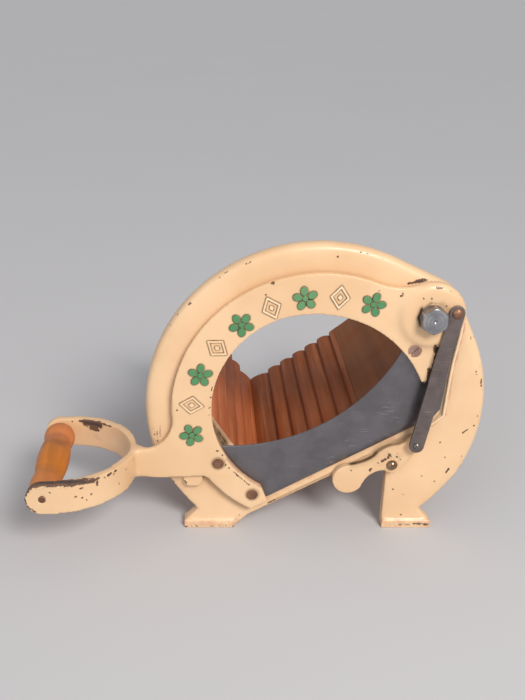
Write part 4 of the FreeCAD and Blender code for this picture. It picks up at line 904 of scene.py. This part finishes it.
RING_RUBS = [
    ((-65.5, 0.8, 252.2), (-61.5, 0.8, 254), 1.2, 1.0),
    ((-82, 2, 244), (-80.8, 2, 244.8), 1.3, 0.95),
    ((-86.9, 1.7, 240.1), (-86.5, 1.7, 240.5), 1.2, 0.95),
    ((-112, 1.1, 215.8), (-110.8, 1.1, 217), 1.4, 1.0),
    ((70.9, 0, 237.9), (78, 0, 239.4), 1.2, 1.0),
    ((77.5, 0, 239.6), (84.5, 0.2, 241.2), 2.0, 1.0),
    ((84, 0.2, 241.5), (91.5, 0.9, 241.1), 0.9, 0.95),
    ((-112.6, -5, 48.8), (-113.4, -5, 50.8), 1.2, 0.9),
    ((144.5, 0.5, 150.5), (145.2, 0.4, 144), 1.4, 0.95),
    ((130.5, 0.4, 189.5), (130.2, 0.4, 188.5), 1.1, 0.9),
    ((133.5, 0, 97.8), (137.7, 0, 101.4), 0.8, 0.85),
    ((123.3, 0, 57.4), (125.3, 0, 61.1), 1.2, 0.95),
    ((145.5, 0.1, 115.2), (145.5, 0.1, 114.4), 1.2, 0.9),
    ((-141.3, 0, 100), (-140, 0.4, 87), 1.9, 0.55),
    ((-138.6, 0, 99), (-138, 0, 86.5), 1.6, 0.53),
    ((-135.6, 0, 102.5), (-135.2, 0, 91), 1.3, 0.55),
    ((74, -2.5, 3.2), (112, -2.5, 3.2), 2.4, 0.52),
    ((98, -2.5, 4.6), (111, -2.5, 3.4), 2.0, 0.6),
    ((-112, -2.5, 1.8), (-66, -2.5, 1.8), 2.2, 0.5),
    ((-72, -1.5, 3.5), (-62.6, 0, 13), 1.4, 0.5),
    ((-38, 0, 24.6), (-32, 0, 28), 1.2, 0.8),
] + dots([
    (-121.3, 3.3, 206.5, 1.2, 0.95),
    (-127.1, 2.7, 196.8, 1.2, 0.95),
    (-10.8, 1.6, 268.2, 1.2, 0.95),
    (18.1, 0.9, 266.5, 1.1, 0.95),
    (28.9, 0.6, 264.2, 1.3, 0.95),
    (34.9, 0.9, 263.4, 1.3, 0.95),
    (138.2, 0, 157.9, 1.0, 0.95),
    (139, 0, 155, 1.0, 0.95),
    (141.4, 0.4, 162.4, 1.0, 0.9),
    (113.5, 0, 48.3, 1.1, 0.85),
    (120.6, 0, 73, 0.9, 0.9),
    (135.5, 0, 74.2, 0.9, 0.9),
    (101.1, 0, 53.6, 1.0, 0.8),
])
ARM_RUBS = [
    ((-244, -60, 71), (-237.5, -60, 79.5), 3.6, 1.0),
    ((-238, -58.5, 80.8), (-206, -58.5, 82), 5.6, 1.0),
    ((-244, -62, 71), (-243.5, -62, 62), 1.3, 0.9),
    ((-242, -62, 60), (-236, -62, 55), 1.2, 0.75),
    ((-208, -60, 81), (-196, -56, 80.8), 4.0, 1.0),
    ((-197, -57, 80), (-188.5, -53, 79.6), 2.6, 1.0),
    ((-189, -54, 79), (-184.6, -51, 80.4), 1.5, 0.9),
    ((-185.5, -51.8, 77.6), (-185.8, -52.1, 74.5), 1.3, 0.95),
    ((-177, -45.3, 79.6), (-175, -43.3, 80.4), 1.5, 1.0),
    ((-171.6, -40, 80.9), (-170.8, -39, 80.5), 1.2, 0.95),
    ((-172.6, -41, 79.1), (-172.4, -41, 78.3), 1.1, 0.95),
    ((-198.8, -58.4, 75), (-197, -57.9, 75.2), 0.9, 0.95),
    ((-203.2, -59.9, 67.7), (-202.4, -59.7, 67.6), 1.0, 0.85),
    ((-197.7, -58.1, 65.9), (-197.2, -57.9, 65.5), 1.1, 0.9),
    ((-190.8, -55, 67.2), (-190.4, -54.8, 67.8), 0.9, 0.85),
    ((-194.3, -56.7, 62.9), (-194, -56.6, 62.6), 0.9, 0.85),
    ((-223.9, -62.4, 73.6), (-222.6, -62.4, 73), 0.9, 0.85),
    ((-169, -36.8, 67.2), (-169, -36.6, 66.6), 0.9, 0.85),
    ((-212, 55.4, 79.2), (-188, 45, 80.6), 1.5, 1.0),
    ((-207, 53.3, 78), (-193, 48.4, 78), 4.2, 1.0),
    ((-202, 51.8, 73), (-195.5, 49.6, 73), 3.0, 0.86),
    ((-199, 51, 68), (-195, 49, 65), 3.6, 0.48),
    ((-188, 45, 80), (-182, 41, 80.8), 0.9, 0.9),
    ((88, -2.6, 241.6), (92, -2.6, 241.9), 0.9, 1.0),
    ((92.5, -11.6, 238.5), (97.6, -11.6, 238.2), 1.3, 0.95),
    ((104.3, -11.1, 236), (104.6, -11.1, 235.6), 0.9, 0.85),
    ((81.8, -12.3, 229.4), (81.8, -12.3, 229.2), 0.8, 0.95),
    ((88.7, -12.3, 229.1), (88.9, -12.3, 229), 0.8, 0.95),
    ((101.8, -12.3, 222.8), (102, -12.3, 222.6), 0.9, 0.9),
    ((64.6, -8.8, 230.2), (63.4, -8.8, 229.8), 1.1, 0.9),
    ((64.8, -8.8, 232.4), (65.4, -8.8, 231.4), 0.7, 0.85),
    ((45.1, -8.8, 233.9), (45.4, -8.8, 233.8), 0.9, 0.8),
    ((96.8, -9.5, 186.5), (98.2, -8.8, 181), 2.4, 1.0),
    ((94.2, -8.8, 163.5), (95.2, -8.8, 155), 2.2, 1.0),
    ((90.6, -8.8, 151.2), (92.4, -8.8, 150.4), 1.6, 0.9),
    ((-91, -8.8, 144.9), (-91.6, -8.8, 142.1), 0.9, 1.0),
    ((-92.3, -8.8, 135.4), (-92.3, -8.8, 134.8), 0.9, 0.95),
    ((-92.6, -8.8, 125.8), (-93.2, -8.8, 125), 0.8, 0.95),
    ((-120.6, -8.8, 123), (-120.6, -8.8, 122.8), 0.9, 0.95),
    ((-86, -8.8, 83.4), (-84.4, -8.8, 83.4), 1.0, 0.9),
    ((-80.9, -8.8, 78.9), (-80.7, -8.8, 78.5), 1.0, 0.9),
    ((-78.6, -8.8, 71), (-77.8, -8.8, 68.6), 0.8, 0.85),
    ((-75.1, -8.8, 66.3), (-74.7, -8.8, 66.1), 0.8, 0.8),
    ((-70.3, -8.8, 62.2), (-66.4, -8.8, 58.4), 0.6, 1.0),
    ((-67.6, -8.8, 59.4), (-66.6, -8.8, 58), 0.9, 1.0),
    ((-66, -8.8, 57.9), (-56.3, -8.8, 48.8), 0.55, 0.85),
] + dots([
    (-179.5, -47.5, 78.8, 1.0, 0.85),
    (-163.6, -28.5, 75.9, 1.0, 0.9),
    (-157.8, -14.7, 78.2, 0.9, 0.85),
    (-204.7, 53, 73.8, 1.3, 0.8),
    (-43.1, -8.8, 239.3, 1.9, 0.95),
    (-48.4, -8.8, 228.8, 1.1, 0.9),
    (-93.3, -8.8, 118.3, 0.8, 0.85),
])
LEVER_RUBS = [
    ((67.6, -7.8, 80), (66.7, -7.8, 76.5), 1.5, 0.85),
    ((64.2, -7.8, 75.2), (61.6, -7.8, 73), 2.4, 0.72),
    ((66, -7.8, 81.5), (69.5, -7.8, 78), 2.2, 0.56),
    ((74.5, -7.8, 78), (77.5, -7.8, 75.6), 2.2, 0.56),
    ((52.4, -7.8, 65.4), (51.4, -7.8, 63.8), 1.2, 1.0),
] + dots([
    (74.5, -7.8, 81, 0.9, 0.8),
    (58.4, -7.8, 71.6, 1.1, 0.85),
    (34.6, -7.8, 63.5, 0.9, 0.95),
])

# Lines along edges, corners and shadows of the castings, as places across and up

# The edge of the sunk field beside the bar. The dark lines along its foot and edge are painted shade of the
# step, with grime.
RECESS_EDGE = [
    (122.8, 201.5), (122, 192.4), (119.7, 175.9), (118, 164.2), (116.7, 139.8), (115.5, 116), (106, 105),
]
RECESS_SLOPE = 3.6
RECESS_FLOOR = [(across - RECESS_SLOPE, up) for across, up in RECESS_EDGE]
# RIM_SHADE with RIM_TOP and RIM_FOOT darken the rim's inner face at the lower left: painted shade, weaker
# at its ends
RIM_SHADE = [(-89.4, 101), (-86.5, 95.5), (-83.9, 91.9), (-81.5, 87.5), (-78, 83)]
RIM_STRIP = [(-88, 102.1), (-81.1, 93.1), (-73.7, 82.6)]
RIM_TOP = [(-92, 107), (-89.4, 101)]
RIM_FOOT = [(-78, 83), (-74, 77)]
LIP_LINE = [(-36, 25.6), (-9.5, 40.7), (17, 55.4), (43.1, 71), (77.7, 90.5)]
WINDOW_EDGE = [(-77, 76), (-71.8, 69), (-66.5, 63.3), (-55.4, 53.4), (-45.9, 47.2)]
# The gap over the lever and its top face: painted shade with grime, near black in the gap
LEVER_GAP = [(35.1, 69), (45.9, 72.3), (50.9, 75), (56, 79.5)]
LEVER_SHADE = [
    (54.7, 78), (57.9, 81.9), (63.4, 86.2), (68.8, 88.4), (74.9, 89.6), (81.6, 93.9), (84.2, 97.7),
]
RIVET_MIDDLES = [(-84.5, 70.3), (-53.5, 38.7)]
RIVET_RIM = 6.1
BOSS_FACE = -12.3

# Thin paint, where the undercoat shows

RING_THINS = [
    ((-38, 0, 30), (78, 0, 96), 5.0, 0.3),
    ((-114, -1, 4), (-62, -1, 4), 5.0, 0.42),
    ((72, -1, 5), (116, -1, 5), 6.0, 0.42),
    ((119.5, 0, 186), (119.5, 0, 172), 1.6, 0.7),
]
RING_THINS += strokes(RECESS_EDGE, 0, 2.4, 0.5) + strokes(RIM_STRIP, 12.5, 4, 0.5)
ARM_THINS = strokes(WINDOW_EDGE, -4, 3.6, 0.75)
LEVER_THINS = [((60, -7.8, 76), (80, -7.8, 82), 9.0, 0.3)]

# Painted shade, dirt and rust

# Dark lines on the ring: painted shade of the sunk field's step, the rim's inner face and above the lever,
# with grime, and a thin dark line along the lip
RING_SHADE_AND_GRIME = (
    strokes(RECESS_FLOOR, 2.5, 0.9, 0.95)
    + strokes(RECESS_EDGE, 0.4, 0.6, 0.45)
    + strokes(RIM_SHADE, 2.5, 5.5, 1.0)
    + strokes(RIM_SHADE, 8, 5.5, 1.0)
    + strokes(RIM_TOP, 6, 5, 0.45)
    + strokes(RIM_FOOT, 6, 5, 0.5)
    + strokes(LIP_LINE, 0, 0.9, 0.8)
    + strokes(LEVER_SHADE, 0, 2.0, 0.7)
)
# Painted shade with grime along the lever's top face
LEVER_SHADE_AND_GRIME = strokes(LEVER_GAP, -4, 3.2, 1.25) + strokes(LEVER_SHADE, -4, 3.0, 0.85)
# A dark ring round the bolt's head, painted shadow on its left and below and brown grime above it; a dark
# line along the window's edge, painted shade with dirt; and dark joints round the rivets
ARM_SHADE_AND_GRIME = (
    strokes([(81.5, 220), (79.6, 212.5), (82, 205.4)], BOSS_FACE, 2.0, 1.2)
    + strokes([(82, 205.4), (90, 200.5)], BOSS_FACE, 1.2, 0.9)
    + strokes([(82.5, 220), (89, 225.3)], BOSS_FACE, 1.2, 0.7)
    + strokes([(89, 225.3), (96, 224.8)], BOSS_FACE, 0.8, 0.5)
    + strokes([(98, 223.6), (105, 218.5)], BOSS_FACE, 3.0, 0.45)
    + strokes(WINDOW_EDGE, ARM_FACE, 0.9, 0.75)
)
for rivet in RIVET_MIDDLES:
    ARM_SHADE_AND_GRIME += round_strokes(rivet, RIVET_RIM, ARM_FACE, 0.7, 0.8)
RIVET_STAINS = dots([(across, ARM_FACE, up, 7.0, 0.2) for across, up in RIVET_MIDDLES])
RIVET_STAINS += dots([(-230, -62.4, 66.3, 5.0, 0.25)])

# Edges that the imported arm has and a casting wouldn't, at the yoke's root and along the neck
ARM_EASED = [((-156.5, out, 86), (-156.5, out, 58), 9.0, 1.0) for out in (-9, 9)]
ARM_EASED += [((-125.4, out, 125), (-125.4, out, 109), 4.5, 0.7) for out in (ARM_FACE, 0)]
ARM_EASED += [((-152, out, 85), (-143, out, 86), 4.5, 0.7) for out in (ARM_FACE, 0)]


# Castings

RING_GRAIN = 1.17 * MM
ARM_GRAIN = 0.91 * MM
LEVER_GRAIN = 0.55 * MM
BRACKET_GRAIN = 1.4 * MM


def ring_casting():
    """The ring with its feet, rim, lip and boss."""
    ring = softened(
        "main_frame", "ring_casting", RING_GRAIN, passes=2, broad=40,
        rubs=RING_RUBS, thins=RING_THINS, grimes=RING_SHADE_AND_GRIME,
    )
    dress(ring, "frame", "cream_paint")


def arm_casting():
    """The bow arm with its yoke. Dirt lies round the raised marks on its face."""
    arm = softened(
        "bow_arm", "arm_casting", ARM_GRAIN, passes=3, broad=46, eased=ARM_EASED,
        rubs=ARM_RUBS, thins=ARM_THINS, stains=RIVET_STAINS, grimes=ARM_SHADE_AND_GRIME, marks=(rosettes, lozenges),
    )
    dress(arm, "arm", "cream_paint")


def stop_lever_casting():
    """The small lever that the bar swings."""
    lever = softened(
        "stop_lever", "stop_lever_casting", LEVER_GRAIN, passes=4, broad=20,
        rubs=LEVER_RUBS, thins=LEVER_THINS, grimes=LEVER_SHADE_AND_GRIME,
    )
    dress(lever, "stop_lever", "cream_paint")


def rear_bracket_casting():
    """The plate that carries the far ends of the boards."""
    bracket = softened("rear_bracket", "rear_bracket_casting", BRACKET_GRAIN, passes=3, broad=30)
    dress(bracket, "frame", "cream_paint")


ring_casting()
arm_casting()
stop_lever_casting()
rear_bracket_casting()


# The cast bead along the edge of the sunk field, beside the bar

BEAD_END = [(115.9, 122), (115.6, 115.6), (115.3, 114.2), (113.9, 113), (105.5, 105.6)]
BEAD_LINE = RECESS_EDGE[:-2] + BEAD_END
BEAD_RADIUS = 1.3 * MM
BEAD_ROUNDNESS = 3
BEAD_SWEEP = 3
BEAD_INSIDE = 1.2
BEAD_SUNK = 0.7


def recess_bead():
    """A half sunk round rod that follows the edge."""
    line = bpy.data.curves.new("recess_line", "CURVE")
    line.dimensions = "3D"
    line.bevel_depth = BEAD_RADIUS
    line.bevel_resolution = BEAD_ROUNDNESS
    line.use_fill_caps = True
    route = line.splines.new("NURBS")
    route.points.add(len(BEAD_LINE) - 1)
    for point, (across, up) in zip(route.points, BEAD_LINE):
        point.co = (*spot(across - BEAD_INSIDE, BEAD_SUNK, up), 1)
    route.order_u = BEAD_SWEEP
    route.use_endpoint_u = True
    maker = placed("recess_line", line)
    bpy.context.view_layer.update()
    mesh = bpy.data.meshes.new_from_object(maker)
    bpy.data.objects.remove(maker)
    mesh.name = "recess_bead"
    smooth_shaded(mesh)
    # The bead's paler cream is a painted highlight along it
    dress(placed("recess_bead", mesh), "frame", "cream_paint", "lit_cream_bead")


recess_bead()


# Steel and wood

BLADE_ROUND = 0.5 * MM
BOARD_ROUND = 0.7 * MM
GRIP_GRAIN = 0.7 * MM
GRIP_THINS = [((-230, 48, 66), (-230, 34, 66), 24.0, 0.85), ((-230, -54, 66), (-230, -48, 66), 13.0, 1.0)]
# A soft dark patch by the far ball's waist: painted shade with a smudge of dirt
GRIP_SHADE_AND_SMUDGE = [((-240, 18, 72), (-224, 13, 79), 6.0, 0.55), ((-224, 13, 79), (-216, 26, 71), 4.5, 0.35)]

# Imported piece, its new name, body, slot, finish, grain in millimetres and passes of smoothing
WORN_STEEL = [
    ("pivot_bolt", "pivot_bolt_worn", "frame", "bright_steel", "bright_steel", 0.4, 2),
    ("link_bar", "link_bar_worn", "link", "grey_steel", "grey_steel", 0.45, 3),
    ("link_top_pin", "link_top_rivet", "arm", "brown_steel", "brown_steel", 0.3, 2),
    ("link_lower_pin", "link_lower_rivet", "link", "brown_steel", "dark_steel", 0.3, 2),
    ("stop_lever_pin", "stop_lever_dome", "frame", "brown_steel", "gold_steel", 0.35, 2),
    ("blade_rivets", "blade_rivets_worn", "arm", "brown_steel", "brown_steel", 0.3, 2),
    ("blade_screw", "blade_screw_worn", "arm", "brown_steel", "pale_steel", 0.3, 1),
    ("grip_rod", "grip_rod_worn", "arm", "brown_steel", "brown_steel", 0.5, 1),
]

# Packed board, its slot and its finish
BOARDS = [
    # The left board takes the lighter copy of the wood: painted light
    ("left_board", "dark_board", "lit_left_board"),
    ("floor_board", "dark_board", "dark_board"),
    ("wall_board", "pale_board", "pale_board"),
]


def steel_pieces():
    """Bolts, rivets and the bar, with their edges worn round, and the blade with its edges broken."""
    for node, name, body, slot, finish, grain, passes in WORN_STEEL:
        dress(softened(node, name, grain * MM, passes), body, slot, finish)
    dress(bevelled("blade", "blade_ground", BLADE_ROUND), "arm", "blade_steel")


def wooden_pieces():
    """The boards with their edges broken, and the turned grip."""
    for node, slot, finish in BOARDS:
        dress(bevelled(node, node + "_worn", BOARD_ROUND), "frame", slot, finish)
    grip = softened(
        "grip", "grip_turned", GRIP_GRAIN, passes=3, broad=20, thins=GRIP_THINS, grimes=GRIP_SHADE_AND_SMUDGE
    )
    dress(grip, "grip", "grip_wood")


def finish_packed_nodes():
    """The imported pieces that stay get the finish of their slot."""
    slots = {part["node"]: part["material_slot"] for part in frame["record"]["subparts"]}
    for name, node in frame["nodes"].items():
        for held in node.material_slots:
            held.material = FINISHES[slots[name]]


steel_pieces()
wooden_pieces()
finish_packed_nodes()


# Floor, light and camera

FLOOR_REACH = 60
FLOOR_PATCH = 0.4
FLOOR_TONES = ((0.58, 0.577, 0.6), (0.6, 0.597, 0.62))
WARM_WHITE = (1, 0.96, 0.9)
BLUISH_WHITE = (0.8, 0.9, 1)
SOFT_BOX_PLACE = Vector((0.55, -1.25, 1.15))
SOFT_BOX_AIM = Vector((0, -0.1, 0.12)) - SOFT_BOX_PLACE
SOFT_BOX_SIDE = 0.6
SOFT_BOX_WATTS = 11
KEY_AIM = (-0.42, 1, -0.85)
KEY_SPREAD = math.radians(20)
KEY_STRENGTH = 1.35
FILL_AIM = (0.9, 1, -0.4)
FILL_SPREAD = math.radians(40)
FILL_STRENGTH = 0.45
ROOM_COLOUR = (0.97, 0.97, 0.98, 1)
ROOM_STRENGTH = 0.44
ABOVE = (0, 0, 1)
PHOTO_HEIGHT = 700
FOCAL_PIXELS = 952
CAMERA_PLACE = Vector((-0.05735, -0.8325, 0.4898))
CAMERA_YAW = 4.25
CAMERA_PITCH = 22.81
CAMERA_ROLL = 2.35


def floor():
    """A plain pale floor that runs out of sight."""
    shape = bmesh.new()
    bmesh.ops.create_grid(shape, x_segments=4, y_segments=4, size=FLOOR_REACH)
    piece = new_piece("floor", shape)
    material, bench = new_material("pale_floor")
    tone = bench.blend(bench.noise(bench.place(), FLOOR_PATCH), *FLOOR_TONES)
    surface(bench, tone, 1.0, Specular_IOR_Level=0.0)
    piece.data.materials.append(material)


def lamp(name, kind, strength, colour, place, aim):
    """A light at a place that shines the way of its aim."""
    light = bpy.data.lights.new(name, kind)
    light.energy = strength
    light.color = colour
    holder = placed(name, light)
    holder.location = place
    holder.rotation_euler = Vector(aim).to_track_quat("-Z", "Y").to_euler()
    return light


def studio():
    """A soft box and a broad key light from the upper right in front, a weak bluish fill from the
    left and a pale room."""
    box = lamp("soft_box", "AREA", SOFT_BOX_WATTS, WARM_WHITE, SOFT_BOX_PLACE, SOFT_BOX_AIM)
    box.shape = "SQUARE"
    box.size = SOFT_BOX_SIDE
    lamp("key", "SUN", KEY_STRENGTH, WARM_WHITE, ABOVE, KEY_AIM).angle = KEY_SPREAD
    lamp("fill", "SUN", FILL_STRENGTH, BLUISH_WHITE, ABOVE, FILL_AIM).angle = FILL_SPREAD
    world = bpy.data.worlds.new("room")
    world.use_nodes = True
    room = world.node_tree.nodes["Background"].inputs
    room["Color"].default_value = ROOM_COLOUR
    room["Strength"].default_value = ROOM_STRENGTH
    bpy.context.scene.world = world
    bpy.context.scene.view_settings.view_transform = "Standard"


def camera():
    """The photograph's camera: its stand, its tilt and its lens, fitted to the ring and the feet."""
    eye = bpy.data.cameras.new("camera")
    eye.sensor_fit = "VERTICAL"
    eye.lens = FOCAL_PIXELS / PHOTO_HEIGHT * eye.sensor_height
    yaw = Matrix.Rotation(-math.radians(CAMERA_YAW), 3, "Z")
    pitch = Matrix.Rotation(math.radians(90 - CAMERA_PITCH), 3, "X")
    roll = Matrix.Rotation(math.radians(CAMERA_ROLL), 3, "Z")
    holder = placed("camera", eye)
    holder.location = CAMERA_PLACE
    holder.rotation_euler = (yaw @ pitch @ roll).to_euler()
    bpy.context.scene.camera = holder


floor()
studio()
camera()
